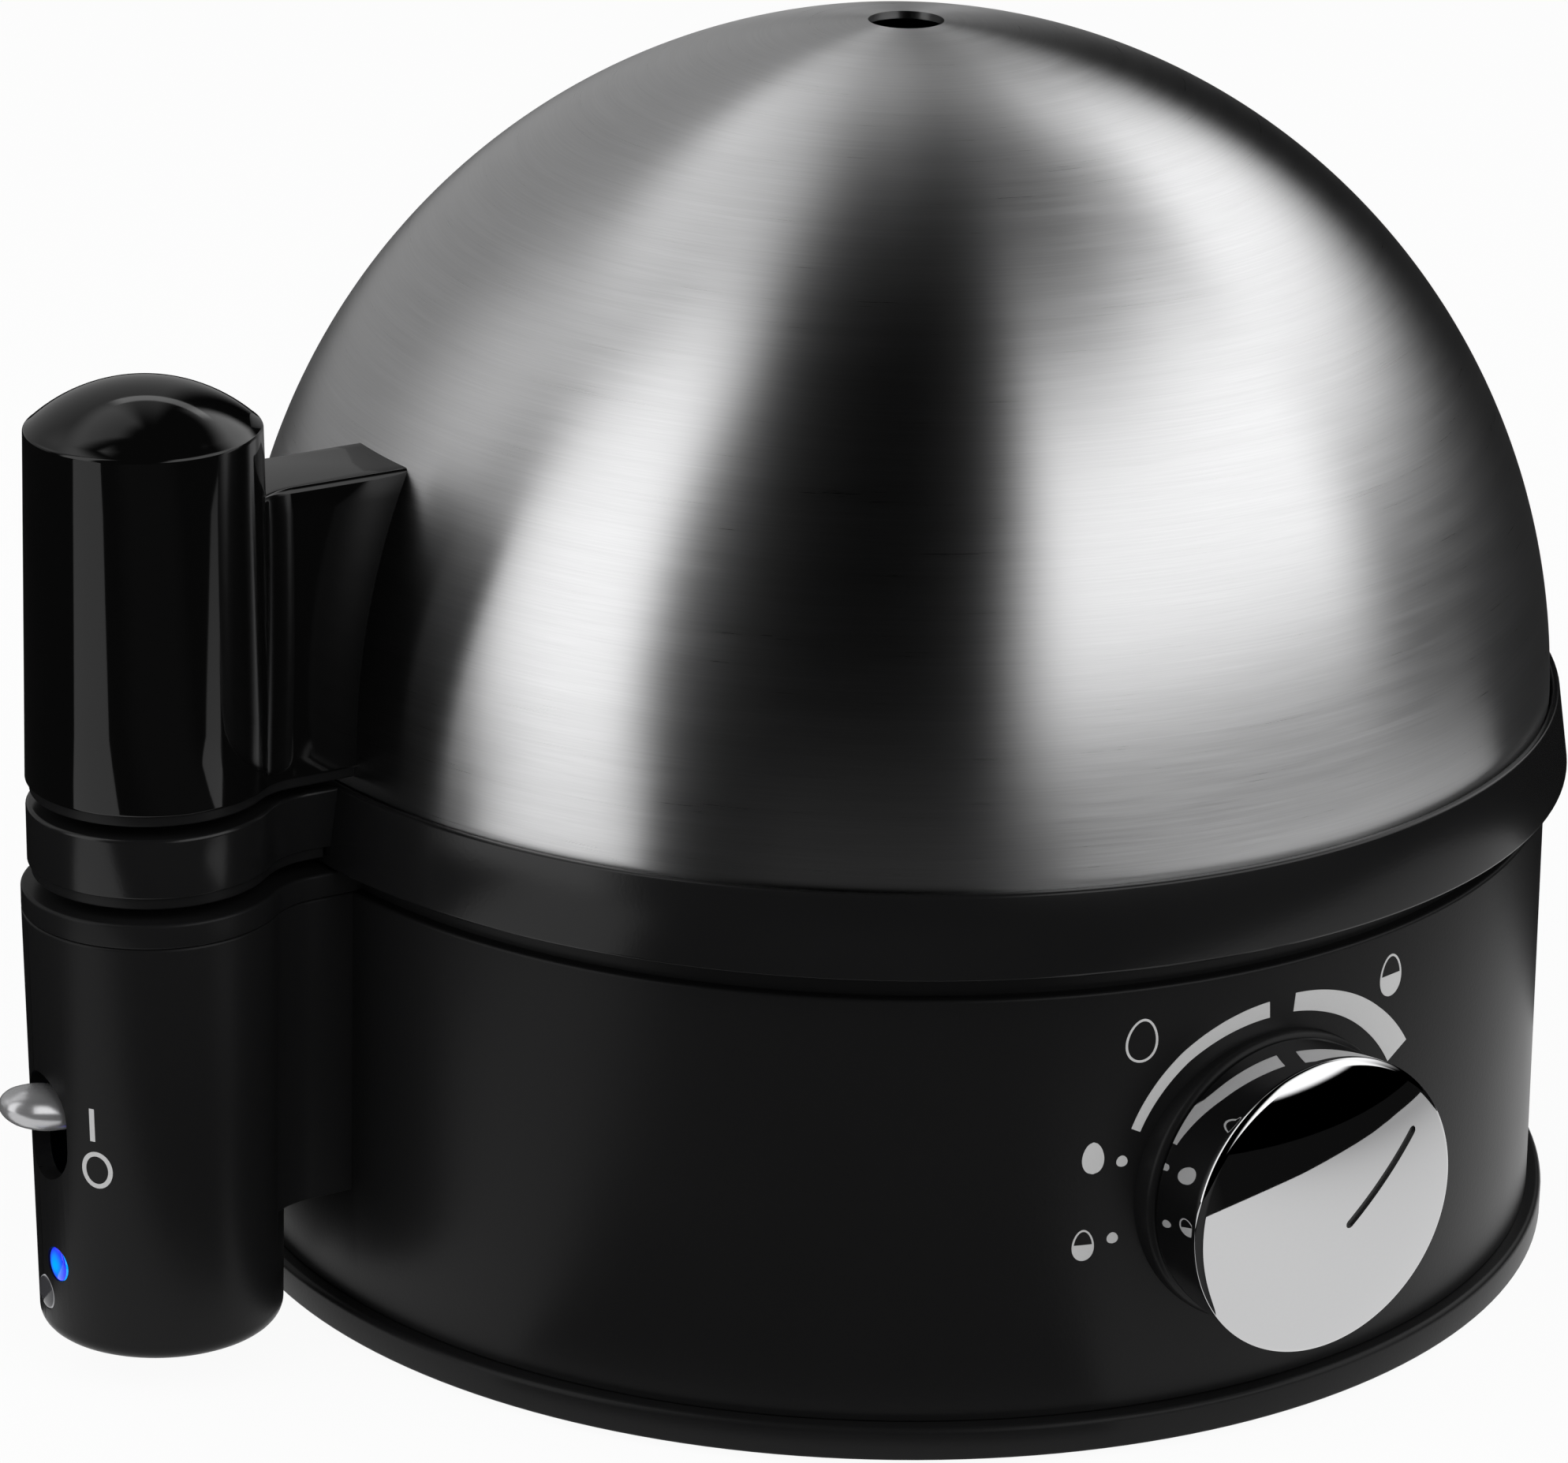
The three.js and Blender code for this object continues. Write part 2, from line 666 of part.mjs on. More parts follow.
/** The top cover: a collar with a shelf for the bowl, and the cap of neck and tower. */
function topCover() {
  const ring = turnedRing([
    [shelfInner, housingTop], [collarOuter, housingTop], [collarOuter, collarTop], [collarInner, collarTop],
    [collarInner, capTop], [shelfInner, capTop],
  ]);
  const outline = neckOutline(shelfInner, neckHalfWidth, neckFillet, towerRadius);
  const middle = rod(collarOuter - collarWall / 2, housingTop - overrun, capTop + overrun, roundSteps);
  const neck = cut(prism(outline, housingTop, capTop), middle);
  return join(ring, neck, atTower(rod(towerRadius, housingTop, capTop)));
}

/** The water bowl: a pressed steel pan that hangs by its rim. */
function waterBowl() {
  const corner = (radius, centreHeight, turn) => along(edgeSteps, (t) => {
    const angle = turn ? (1 - t) * (Math.PI / 2) : t * (Math.PI / 2);
    return [
      bowlRadius - bowlWall - bowlCorner + radius * Math.sin(angle),
      centreHeight - radius * Math.cos(angle),
    ];
  });
  const centre = bowlFloor + bowlCorner;
  const outside = corner(bowlCorner + bowlWall, centre, false);
  const inside = corner(bowlCorner, centre, true);
  return turned([
    [0, bowlUnderside], ...outside, [bowlRadius, bowlRimTop - bowlWall], [bowlRimRadius, bowlRimTop - bowlWall],
    [bowlRimRadius, bowlRimTop], [bowlRadius - bowlWall, bowlRimTop], ...inside, [0, bowlFloor],
  ]);
}

/** The flat silicone seal between the shelf and the bowl's rim. */
function bowlSeal() {
  const outer = collarInner - seatGap;
  return turnedRing([
    [outer - sealWidth, capTop], [outer, capTop], [outer, capTop + sealThickness],
    [outer - sealWidth, capTop + sealThickness],
  ]);
}

/** The element: a tube bent to a ring that stays open towards the tower. */
function heatingElement() {
  const path = new THREE.CatmullRomCurve3(along(elementSteps, (t) => {
    const angle = Math.PI + elementOpening / 2 + t * (2 * Math.PI - elementOpening);
    return new THREE.Vector3(elementRadius * Math.cos(angle), elementRadius * Math.sin(angle), elementHeight);
  }));
  const section = new THREE.Shape();
  section.absarc(0, 0, elementTube, 0, 2 * Math.PI, false);
  return new THREE.ExtrudeGeometry(section, {
    steps: elementSteps, extrudePath: path, bevelEnabled: false, curveSegments: elementSides / 2,
  });
}

/** A ceramic end bead of the element; side is 1 at the end of its turn and -1 at the start. */
function elementTerminal(side) {
  const bead = rod(terminalRadius, seatGap + slideGap, terminalLength, smallSteps);
  const pin = rod(terminalRadius / 3, terminalLength - seatGap, terminalLength * 1.5, smallSteps);
  const turnedBead = (side > 0 ? facing.back : facing.front)(pieceGeometry(join(bead, pin)));
  return turnedBead.translate(elementRadius, 0, elementHeight).rotateZ(Math.PI - (side * elementOpening) / 2);
}

/** The strap that presses the element and the thermostat to the heat plate. */
function elementStrap() {
  const outline = slotOutline(2 * strapHalfLength, strapWidth);
  const holes = [-1, 1].map((side) => bore(strapScrewRadius, strapBottom - overrun, strapTop + overrun)
    .translate(side * strapScrewPlace, 0, 0));
  const strap = cut(prism(outline, strapBottom, strapTop), ...holes);
  return pieceGeometry(strap).rotateZ(Math.PI / 2);
}

/** The thermostat: a round can under the heat plate with two connector tabs. */
function thermostat() {
  const can = rod(thermostatRadius, strapTop + seatGap, heatPlateBottom - seatGap, mediumSteps);
  const height = (strapTop + heatPlateBottom) / 2;
  const tabs = [-1, 1].map((side) => block(thermostatTabReach * 2, thermostatTabWidth, height,
    height + thermostatTabThickness, side * thermostatRadius, 0));
  return join(can, ...tabs);
}

/** The thermal fuse, a small barrel that lies across the strap. */
function thermalFuse() {
  const bodyHalf = fuseLength / 2;
  const barrel = rod(fuseRadius, -bodyHalf, bodyHalf, smallSteps);
  const lead = rod(fuseRadius / 3, -bodyHalf - fuseRadius, bodyHalf + fuseRadius, smallSteps);
  return pieceGeometry(join(barrel, lead)).rotateY(Math.PI / 2)
    .translate(0, fuseFromAxis, strapTop + seatGap + fuseRadius);
}

/** The carrier's ring with its ledge, skirt and lip, and the handle that its neck carries. */
function carrierRing() {
  const ring = turnedRing([
    [skirtInner, ringBottom], [carrierRadius, ringBottom], [ringTopRadius, ringTop], [lipInner, ringTop],
    [lipInner, ledgeTop], [ledgeInner, ledgeTop], [ledgeInner, collarTop], [skirtInner, collarTop],
  ]);
  const lipMiddle = lipInner + lipThickness / 2;
  const outline = neckOutline(ledgeInner, carrierNeckHalfWidth, neckFillet, handleRadius);
  const neck = cut(prism(outline, handleBottom, ringTop),
    rod(lipMiddle, handleBottom - overrun, ringTop + overrun, roundSteps));
  const pocket = atTower(rod(handleRadius - handleWall, handleBottom - overrun, ringTop - handleWall));
  const handle = cut(join(atTower(rod(handleRadius, handleBottom, ringTop)), neck), pocket);
  const holes = around(trayScrewCount, Math.PI / trayScrewCount).map((angle) => polar(
    bore(trayScrewRadius, collarTop - overrun, ledgeTop + overrun), trayScrewPitch, angle));
  return cut(join(ring, handle), ...holes);
}

/** The plug that closes a hollow handle from below, a little smaller than the handle itself. */
function handlePlug(bottom, top, halfWidth, clearOf) {
  const spigot = handleRadius - handleWall - seatGap;
  const outline = neckOutline(shelfInner, halfWidth - plugInset, neckFillet + plugInset, plugRadius);
  const neck = cut(prism(outline, bottom, top), clearOf);
  const disc = atTower(rod(plugRadius, bottom, top));
  return join(disc, neck, atTower(rod(spigot, top - plugInset, top + plugSpigot)));
}

/** The egg tray: a steel disc with seven flanged egg holes and small steam holes. */
function eggTray() {
  const disc = rod(trayRadius, ledgeTop, ledgeTop + trayThickness, roundSteps);
  const places = [[0, 0], ...around(outerEggs, Math.PI / 2).map((angle) => [
    eggPitchRadius * Math.cos(angle), eggPitchRadius * Math.sin(angle),
  ])];
  const collars = places.map(([x, y]) => rod(eggHoleRadius + trayThickness, ledgeTop - eggCollarDrop,
    ledgeTop + trayThickness / 2, eggSteps).translate(x, y, 0));
  const holes = places.map(([x, y]) => rod(eggHoleRadius, ledgeTop - eggCollarDrop - overrun,
    ledgeTop + trayThickness + overrun, eggSteps).translate(x, y, 0));
  const steamHoles = around(outerEggs, Math.PI / 2 + Math.PI / outerEggs).map((angle) => polar(
    rod(steamHoleRadius, ledgeTop - overrun, ledgeTop + trayThickness + overrun, smallSteps),
    steamPitchRadius, angle));
  const screwHoles = around(trayScrewCount, Math.PI / trayScrewCount).map((angle) => polar(
    bore(trayScrewRadius, ledgeTop - overrun, ledgeTop + trayThickness + overrun), trayScrewPitch, angle));
  return cut(join(disc, ...collars), ...holes, ...steamHoles, ...screwHoles);
}

/** The half profile of the dome from its spring line to the vent. */
function domeArc(radius, rise) {
  const last = Math.acos(ventRadius / radius);
  return along(domeSteps, (t) => [
    radius * Math.cos(t * last), domeSpring + rise * Math.sin(t * last),
  ]);
}

/** A solid dome, for cutting what lies against the shell. */
function domeTool(radius, rise) {
  return turned([[0, ringBottom], [radius, ringBottom], ...domeArc(radius, rise), [0, domeSpring + rise]]);
}

/** Heights of the two lid screws on the clamping pad. */
function lidScrewHeights() {
  const bottom = lidHandleBottom + padMargin + lidScrewEdge;
  return [bottom, bottom + padHeight - 2 * lidScrewEdge];
}

/** The dome: a spun steel shell with a steam vent on top. */
function lidDome() {
  const outside = domeArc(domeRadius, domeHeight);
  const inside = domeArc(domeInnerRadius, domeInnerHeight).reverse();
  const shell = turnedRing([[domeRadius, ledgeTop], ...outside, ...inside, [domeInnerRadius, ledgeTop]]);
  return cut(shell, ...lidScrewBores(domeRadius));
}

/** Bores for the lid screws, from inside the dome out to a distance. */
function lidScrewBores(farEnd) {
  return lidScrewHeights().map((height) => facing.tower(
    bore(lidScrewRadius, ledgeInner - padHeight, farEnd + slideGap)).translate(0, 0, height));
}

/** The distance of the clamping pad's flat face from the drum's axis. */
function padFace() {
  const top = lidHandleBottom + padMargin + padHeight;
  return domeRadiusAt(top, domeInnerRadius - seatGap, domeInnerHeight - seatGap) - padThinnest;
}

/** The lid's handle: a hollow crowned tower with a bridge that lies against the dome. */
function lidHandle() {
  const edge = along(edgeSteps, (t) => [
    lidHandleTopRadius - lidHandleEdge * (1 - Math.cos((t * Math.PI) / 2)),
    lidShoulder + lidHandleEdgeHeight * Math.sin((t * Math.PI) / 2),
  ]);
  const crownChord = lidHandleTopRadius - lidHandleEdge;
  const crownRadius = (crownChord ** 2 + lidCrownRise ** 2) / (2 * lidCrownRise);
  const crownFoot = lidShoulder + lidHandleEdgeHeight;
  const crown = along(crownSteps, (t) => {
    const radius = crownChord * (1 - t);
    return [radius, crownFoot + lidCrownRise - crownRadius + Math.sqrt(crownRadius ** 2 - radius ** 2)];
  });
  const tower = atTower(turned([[0, lidHandleBottom], [handleRadius, lidHandleBottom], ...edge,
    ...crown.slice(1)], mediumSteps));
  const pocket = atTower(turned([
    [0, lidHandleBottom - overrun], [handleRadius - handleWall, lidHandleBottom - overrun],
    [lidHandleTopRadius - handleWall, lidShoulder - handleWall], [0, lidShoulder - handleWall],
  ], mediumSteps));
  const against = domeTool(domeRadius + seatGap, domeHeight + seatGap);
  return cut(join(tower, bridge()), pocket, against, ...lidScrewBores(padFace() + lidScrewLength()));
}

/** Length of a lid screw's shank: through pad and dome, and its bite in the bridge. */
function lidScrewLength() {
  return domeRadius - padFace() + lidScrewBite;
}

/** The bridge between the lid's handle and the dome, narrower at its top. */
function bridge() {
  const outline = neckOutline(collarInner - padHeight, bridgeHalfWidth, bridgeFillet, handleRadius);
  const geometry = prism(outline, lidHandleBottom, bridgeTop);
  const points = geometry.attributes.position;
  for (let i = 0; i < points.count; i += 1) {
    const share = (points.getZ(i) - lidHandleBottom) / bridgeHeight;
    points.setY(i, points.getY(i) * (1 - share + (share * bridgeTopWidthHalf) / bridgeHalfWidth));
  }
  return geometry;
}

/** The clamping pad inside the dome: curved against the shell, flat under the screw heads. */
function clampPad() {
  const bottom = lidHandleBottom + padMargin;
  const width = domeRadius - padFace();
  const body = block(width, 2 * padHalfWidth, bottom, bottom + padHeight, -(padFace() + width / 2), 0);
  const pad = common(body, domeTool(domeInnerRadius - seatGap, domeInnerHeight - seatGap));
  return cut(pad, ...lidScrewBores(domeRadius));
}

/** The knob's chromed shell: a flared side, a rounded rim and a crowned face with a marker groove. */
function knobShell() {
  const flare = along(flareSteps, (t) => [
    knobFootRadius + (knobRadius - knobFootRadius) * t ** knobFlarePower, knobDepth * t,
  ]);
  const rim = along(edgeSteps, (t) => [
    knobRadius - knobRim * (1 - Math.cos((t * Math.PI) / 2)), knobDepth + knobRim * Math.sin((t * Math.PI) / 2),
  ]);
  const chord = knobRadius - knobRim;
  const crownRadius = (chord ** 2 + knobCrownRise ** 2) / (2 * knobCrownRise);
  const face = (radius) => knobDepth + knobRim + knobCrownRise - crownRadius
    + Math.sqrt(crownRadius ** 2 - radius ** 2);
  const crown = along(crownSteps, (t) => [chord * (1 - t), face(chord * (1 - t))]);
  const inside = along(crownSteps, (t) => [(chord - knobWall) * t, face((chord - knobWall) * t) - knobWall]);
  const shell = turned([...flare, ...rim.slice(1), ...crown.slice(1), ...inside,
    [knobFootRadius - knobWall, 0], flare[0]], mediumSteps + smallSteps);
  const groove = block(knobMarkLength, knobMarkWidth, -knobMarkDepth, overrun, knobMarkLength / 2, 0);
  const slope = Math.atan2(face(0) - face(knobMarkLength), knobMarkLength);
  return cut(shell, groove.rotateY(slope).rotateZ(knobMarkAngle).translate(0, 0, face(0)));
}

/** The knob's insert: a disc inside the shell with a hub for the shaft. */
function knobInsert() {
  const discRadius = knobFootRadius - knobWall - seatGap;
  const inner = (shaftRadius + seatGap) / Math.cos(Math.PI / mediumSteps);
  return turnedRing([
    [inner, hubFoot], [hubRadius, hubFoot], [hubRadius, insertLift], [discRadius, insertLift],
    [discRadius, insertLift + insertPlate], [hubRadius, insertLift + insertPlate],
    [hubRadius, knobRoof - seatGap - hubRoof], [inner, knobRoof - seatGap - hubRoof],
  ], mediumSteps);
}

/** The potentiometer's shaft, flattened where the knob grips it; zero is at the knob's foot. */
function potShaft() {
  const inner = potFront - shaftSocket + seatGap - knobFoot;
  const outer = knobRoof - hubRoof - seatGap;
  const flatFrom = hubFoot + insertLift / 2;
  const flat = block(shaftRadius * 2, shaftRadius * 2, flatFrom, outer + overrun,
    0, shaftRadius * (1 + shaftFlatShare));
  return cut(rod(shaftRadius, inner, outer, mediumSteps), flat);
}

/** The matte collar round the knob's foot, seated on the round wall, with a spigot through it. */
function knobCollar() {
  const back = collarInner;
  const ring = turned([
    [0, back], [collarRadius, back], [collarRadius, collarFront - collarChamfer],
    [collarRadius - collarChamfer, collarFront], [0, collarFront],
  ], mediumSteps);
  const wall = turned([
    [0, flangeTop - overrun], [housingFootRadius + seatGap, flangeTop - overrun],
    [housingTopRadius + seatGap, housingTop + overrun], [0, housingTop + overrun],
  ]);
  const spigot = rod(spigotRadius, potFront + seatGap, collarFront - collarProud / 2, mediumSteps);
  const hole = bore(bushingRadius, potFront - overrun, collarFront + overrun, smallSteps * 2);
  const raise = (shape) => facing.front(shape).translate(0, 0, knobAxisHeight);
  return cut(join(cut(raise(ring), wall), raise(spigot)), raise(hole));
}

/** The potentiometer with its threaded bushing; it faces the front. */
function potentiometer() {
  const body = block(potWidth, potWidth, potFront - potDepth, potFront);
  const bushing = rod(bushingRadius, potFront - overrun / 2, nutFront + bushingPastNut, smallSteps * 2);
  const socket = bore(shaftRadius, potFront - shaftSocket, nutFront + overrun, mediumSteps);
  return pieceGeometry(cut(join(body, bushing), socket));
}

/** The hexagon nut on the bushing. */
function potNut() {
  const cornerRadius = nutAcross / Math.sqrt(3);
  const hexagon = rod(cornerRadius, collarFront + seatGap, nutFront, 6);
  return pieceGeometry(cut(hexagon, bore(bushingRadius, collarFront - overrun, nutFront + overrun,
    smallSteps * 2)));
}

/** The control board with the parts that stand on its inner face. */
function controlBoardPieces() {
  const board = block(boardWidth, boardThickness, boardBottom, boardBottom + boardHeight, 0,
    -(boardOuter + boardInner) / 2);
  const face = -(boardInner - seatGap);
  const height = boardBottom + boardHeight / 2;
  const quarter = boardWidth / 4;
  const buzzer = cut(rod(buzzerRadius, 0, buzzerHeight, smallSteps * 2),
    rod(buzzerHole, buzzerHeight / 2, buzzerHeight + overrun, smallSteps));
  const relay = block(relayWidth, relayDepth, height - relayHeight / 2, height + relayHeight / 2,
    -quarter, face + relayDepth / 2);
  const capacitor = rod(capacitorRadius, 0, capacitorLength, smallSteps);
  return [
    piece('control_board', board, 'boardGreen'),
    piece('buzzer', facing.back(pieceGeometry(buzzer)).translate(quarter, face, height + buzzerRadius),
      'matteBlack'),
    piece('relay', relay, 'whitePlastic'),
    piece('capacitor', facing.back(capacitor).translate(quarter, face, height - buzzerRadius), 'aluminium'),
  ];
}

/** The terminal block on the base plate for the mains lead. */
function terminalBlock() {
  const middle = bowlRadius - bowlCorner - terminalBlockDepth;
  const body = block(terminalBlockWidth, terminalBlockDepth, plateTop, plateTop + terminalBlockHeight, 0, middle);
  const way = terminalBlockWidth / terminalWays;
  const holes = Array.from({ length: terminalWays }, (_, i) => rod(terminalBlockHole,
    plateTop + terminalBlockHeight / 2, plateTop + terminalBlockHeight + overrun, smallSteps)
    .translate((i - (terminalWays - 1) / 2) * way, middle, 0));
  return cut(body, ...holes);
}

/** The cord gland: a grommet with a flange on each side of the back wall. */
function cordGland() {
  const height = flangeTop + glandHeight;
  const outerFace = drumRadiusAt(height) + slideGap;
  const innerFace = Math.sqrt((drumRadiusAt(height) - housingWall) ** 2 - glandFlangeRadius ** 2) - slideGap;
  const grommet = turnedRing([
    [glandBore, innerFace - glandFlange], [glandFlangeRadius, innerFace - glandFlange],
    [glandFlangeRadius, innerFace], [glandBodyRadius, innerFace], [glandBodyRadius, outerFace],
    [glandFlangeRadius, outerFace], [glandFlangeRadius - glandFlange / 2, outerFace + glandFlange],
    [glandBore, outerFace + glandFlange],
  ], smallSteps * 2);
  return facing.back(grommet).translate(0, 0, height);
}

/** The switch lever, drawn from its pivot along +X: hub, stem and a rounded finger piece. */
function switchLever() {
  const finger = new THREE.SphereGeometry(1, smallSteps * 2, smallSteps)
    .scale(leverHalfLength, leverHalfWidth, leverHalfThickness).translate(leverReach, 0, 0);
  const stem = rod(leverStemRadius, 0, leverReach, smallSteps).rotateY(Math.PI / 2);
  const hub = rod(leverHubRadius, -leverHubHalfLength, leverHubHalfLength, smallSteps * 2).rotateX(Math.PI / 2);
  const hole = bore(leverPinRadius, -leverHubHalfLength - overrun, leverHubHalfLength + overrun)
    .rotateX(Math.PI / 2);
  return cut(join(finger, stem, hub), hole);
}

/** The switch body behind the lever, with the two ears that hold the lever's pin. */
function switchBody() {
  const back = leverPivotX + leverHubRadius + switchSetback;
  const body = block(switchDepth, switchWidth, leverAxisHeight - switchBodyHeight / 2,
    leverAxisHeight + switchBodyHeight / 2, back + switchDepth / 2, 0);
  const earLength = back - leverPivotX + leverHubRadius + switchEar;
  const ears = [-1, 1].map((side) => block(earLength, switchEar, leverAxisHeight - switchEarHeight / 2,
    leverAxisHeight + switchEarHeight / 2, back - earLength / 2 + switchEar / 2,
    side * (leverHubHalfLength + seatGap + switchEar / 2)));
  const hole = bore(leverPinRadius, -switchWidth, switchWidth)
    .rotateX(Math.PI / 2).translate(leverPivotX, 0, leverAxisHeight);
  return cut(join(body, ...ears), hole);
}

/** The pin that the switch lever tips on. */
function leverPin() {
  const half = leverHubHalfLength + seatGap + switchEar;
  return rod(leverPinRadius, -half, half, smallSteps).rotateX(Math.PI / 2)
    .translate(leverPivotX, 0, leverAxisHeight);
}

/** The lamp board, the two lamps and the two lenses in the tower wall. */
function lampPieces() {
  const board = block(lampBoardThickness, lampBoardWidth, boardLevel(0), boardLevel(lampBoardHeight),
    -lampBoardFace + lampBoardThickness / 2, 0);
  const pieces = [piece('lamp_board', board, 'boardGreen')];
  for (const { name, across, lift } of lensPlaces) {
    const lampFoot = lampBoardFace + seatGap;
    const lamp = rod(lampRadius, lampFoot, lampFoot + lampLength - seatGap, smallSteps);
    const lensBack = lampFoot + lampLength;
    const surface = towerDistance + Math.sqrt(towerFootRadius ** 2 - across ** 2);
    const lens = turned([
      [0, lensBack], [lensRadius, lensBack], [lensRadius, surface + lensProud],
      [lensRadius / 2, surface + lensProud + lensDome], [0, surface + lensProud + lensDome],
    ], smallSteps * 2);
    const place = (shape) => facing.tower(shape).translate(0, across, towerBottom + lift);
    pieces.push(piece(`${name}_lamp`, place(lamp), name === 'ready' ? 'blueLens' : 'clearLens'));
    pieces.push(piece(`${name}_lens`, place(lens), name === 'ready' ? 'blueLens' : 'clearLens'));
  }
  return pieces;
}

/** The rubber feet in the pockets under the base plate. */
function feet() {
  return around(footCount, Math.PI / footCount).map((angle, i) => {
    const foot = turned([
      [0, 0], [footRadius - footPocket / 2, 0], [footRadius, footPocket / 2],
      [footRadius, plateBottom + footPocket], [0, plateBottom + footPocket],
    ], smallSteps * 2);
    const mesh = piece(`foot_${i + 1}`, foot, 'rubber');
    mesh.position.set(footPitchRadius * Math.cos(angle), footPitchRadius * Math.sin(angle), 0);
    return mesh;
  });
}

/** The four screws that hold the base plate. */
function plateScrews() {
  return around(bossCount, Math.PI / bossCount).map((angle, i) => {
    const length = flangeTop + bossScrewDepth - plateBottom - plateScrewHeadHeight;
    const mesh = piece(`plate_screw_${i + 1}`,
      screw(plateScrewRadius, plateScrewHead, plateScrewHeadHeight, length), 'zincSteel');
    mesh.position.set(bossPitchRadius * Math.cos(angle), bossPitchRadius * Math.sin(angle),
      plateBottom + plateScrewHeadHeight);
    return mesh;
  });
}

/** The two screws of the element strap. */
function strapScrews() {
  const length = heatPlateBottom - seatGap - strapBottom;
  return [-1, 1].map((side, i) => {
    const mesh = piece(`strap_screw_${i + 1}`,
      screw(strapScrewRadius, strapScrewHead, strapScrewHeadHeight, length + seatGap), 'zincSteel');
    mesh.position.set(0, side * strapScrewPlace, strapBottom - seatGap);
    return mesh;
  });
}

/** The three screws that hold the egg tray to the ring's ledge. */
function trayScrews() {
  return around(trayScrewCount, Math.PI / trayScrewCount).map((angle, i) => {
    const length = trayThickness + ledgeThickness - trayScrewTip;
    const mesh = piece(`tray_screw_${i + 1}`,
      screw(trayScrewRadius, trayScrewHead, trayScrewHeadHeight, length), 'zincSteel');
    mesh.position.set(trayScrewPitch * Math.cos(angle), trayScrewPitch * Math.sin(angle),
      ledgeTop + trayThickness + seatGap);
    mesh.rotation.x = Math.PI;
    return mesh;
  });
}

/** The two screws that clamp pad, dome and bridge together. */
function lidScrews() {
  return lidScrewHeights().map((height, i) => {
    const mesh = piece(`lid_screw_${i + 1}`,
      screw(lidScrewRadius, lidScrewHead, lidScrewHeadHeight, lidScrewLength()), 'zincSteel');
    mesh.position.set(-padFace() + seatGap, 0, height);
    mesh.rotation.y = -Math.PI / 2;
    return mesh;
  });
}

/** Everything that stays on the table. */
function baseAssembly() {
  const assembly = new THREE.Group();
  const potPlaced = (shape) => facing.front(shape).translate(0, 0, knobAxisHeight);
  assembly.add(
    piece('base_housing', baseHousing(), 'matteBlack'),
    piece('base_plate', basePlate(), 'matteBlack'),
    piece('top_cover', topCover(), 'matteBlack'),
    piece('water_bowl', waterBowl(), 'brushedSteel'),
    piece('bowl_seal', bowlSeal(), 'silicone'),
    piece('heat_plate', rod(heatPlateRadius, heatPlateBottom, bowlUnderside, roundSteps), 'aluminium'),
    piece('heating_element', heatingElement(), 'elementSheath'),
    piece('element_terminal_back', elementTerminal(1), 'ceramic'),
    piece('element_terminal_front', elementTerminal(-1), 'ceramic'),
    piece('element_strap', elementStrap(), 'zincSteel'),
    piece('thermostat', thermostat(), 'ceramic'),
    piece('thermal_fuse', thermalFuse(), 'whitePlastic'),
    ...controlBoardPieces(),
    piece('potentiometer', potPlaced(potentiometer()), 'zincSteel'),
    piece('pot_nut', potPlaced(potNut()), 'zincSteel'),
    piece('terminal_block', terminalBlock(), 'whitePlastic'),
    piece('cord_gland', cordGland(), 'rubber'),
    piece('knob_collar', knobCollar(), 'matteBlack'),
    piece('switch_body', switchBody(), 'matteBlack'),
    piece('lever_pin', leverPin(), 'zincSteel'),
    ...lampPieces(),
    ...feet(),
    ...plateScrews(),
    ...strapScrews(),
  );
  return assembly;
}

/** The knob with all that turns with it, about its own axis. */
function knobAssembly() {
  const assembly = new THREE.Group();
  assembly.add(
    piece('knob_shell', knobShell(), 'chrome'),
    piece('knob_insert', knobInsert(), 'matteBlack'),
    piece('pot_shaft', potShaft(), 'aluminium'),
  );
  assembly.position.set(0, -knobFoot, knobAxisHeight);
  assembly.rotation.x = Math.PI / 2;
  return assembly;
}

/** The switch lever at its upper place. */
function leverAssembly() {
  const assembly = new THREE.Group();
  assembly.add(piece('switch_lever', switchLever(), 'silverPaint'));
  assembly.position.set(leverPivotX, 0, leverAxisHeight);
  assembly.rotation.y = Math.PI + leverTilt;
  return assembly;
}

/** The egg carrier that lifts off the base. */
function carrierAssembly() {
  const assembly = new THREE.Group();
  const ringTool = rod(carrierRadius + seatGap, carrierPlugBottom - overrun, handleBottom + overrun, roundSteps);
  assembly.add(
    piece('carrier_ring', carrierRing(), 'matteBlack'),
    piece('carrier_handle_plug',
      handlePlug(carrierPlugBottom, handleBottom, carrierNeckHalfWidth, ringTool), 'matteBlack'),
    piece('egg_tray', eggTray(), 'brushedSteel'),
    ...trayScrews(),
  );
  return assembly;
}

/** The lid that lifts off the carrier. */
function lidAssembly() {
  const assembly = new THREE.Group();
  const domeSide = domeTool(domeRadius + seatGap, domeHeight + seatGap);
  assembly.add(
    piece('lid_dome', lidDome(), 'brushedSteel'),
    piece('lid_handle', lidHandle(), 'glossBlack'),
    piece('lid_handle_plug', handlePlug(lidPlugBottom, lidHandleBottom, bridgeHalfWidth, domeSide), 'matteBlack'),
    piece('clamp_pad', clampPad(), 'matteBlack'),
    ...lidScrews(),
  );
  return assembly;
}

const group = new THREE.Group();
group.add(baseAssembly(), knobAssembly(), leverAssembly(), carrierAssembly(), lidAssembly());
group.updateMatrixWorld(true);
const footprint = new THREE.Box3().setFromObject(group, true);
group.position.x = -(footprint.min.x + footprint.max.x) / 2;
group.position.y = -(footprint.min.y + footprint.max.y) / 2;

export default group;
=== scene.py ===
import json
import logging
import math
from collections.abc import Callable, Iterable, Sequence
from dataclasses import asdict, dataclass, field
from enum import Enum
from functools import reduce

import bmesh
import bpy
from mathutils import Matrix, Vector


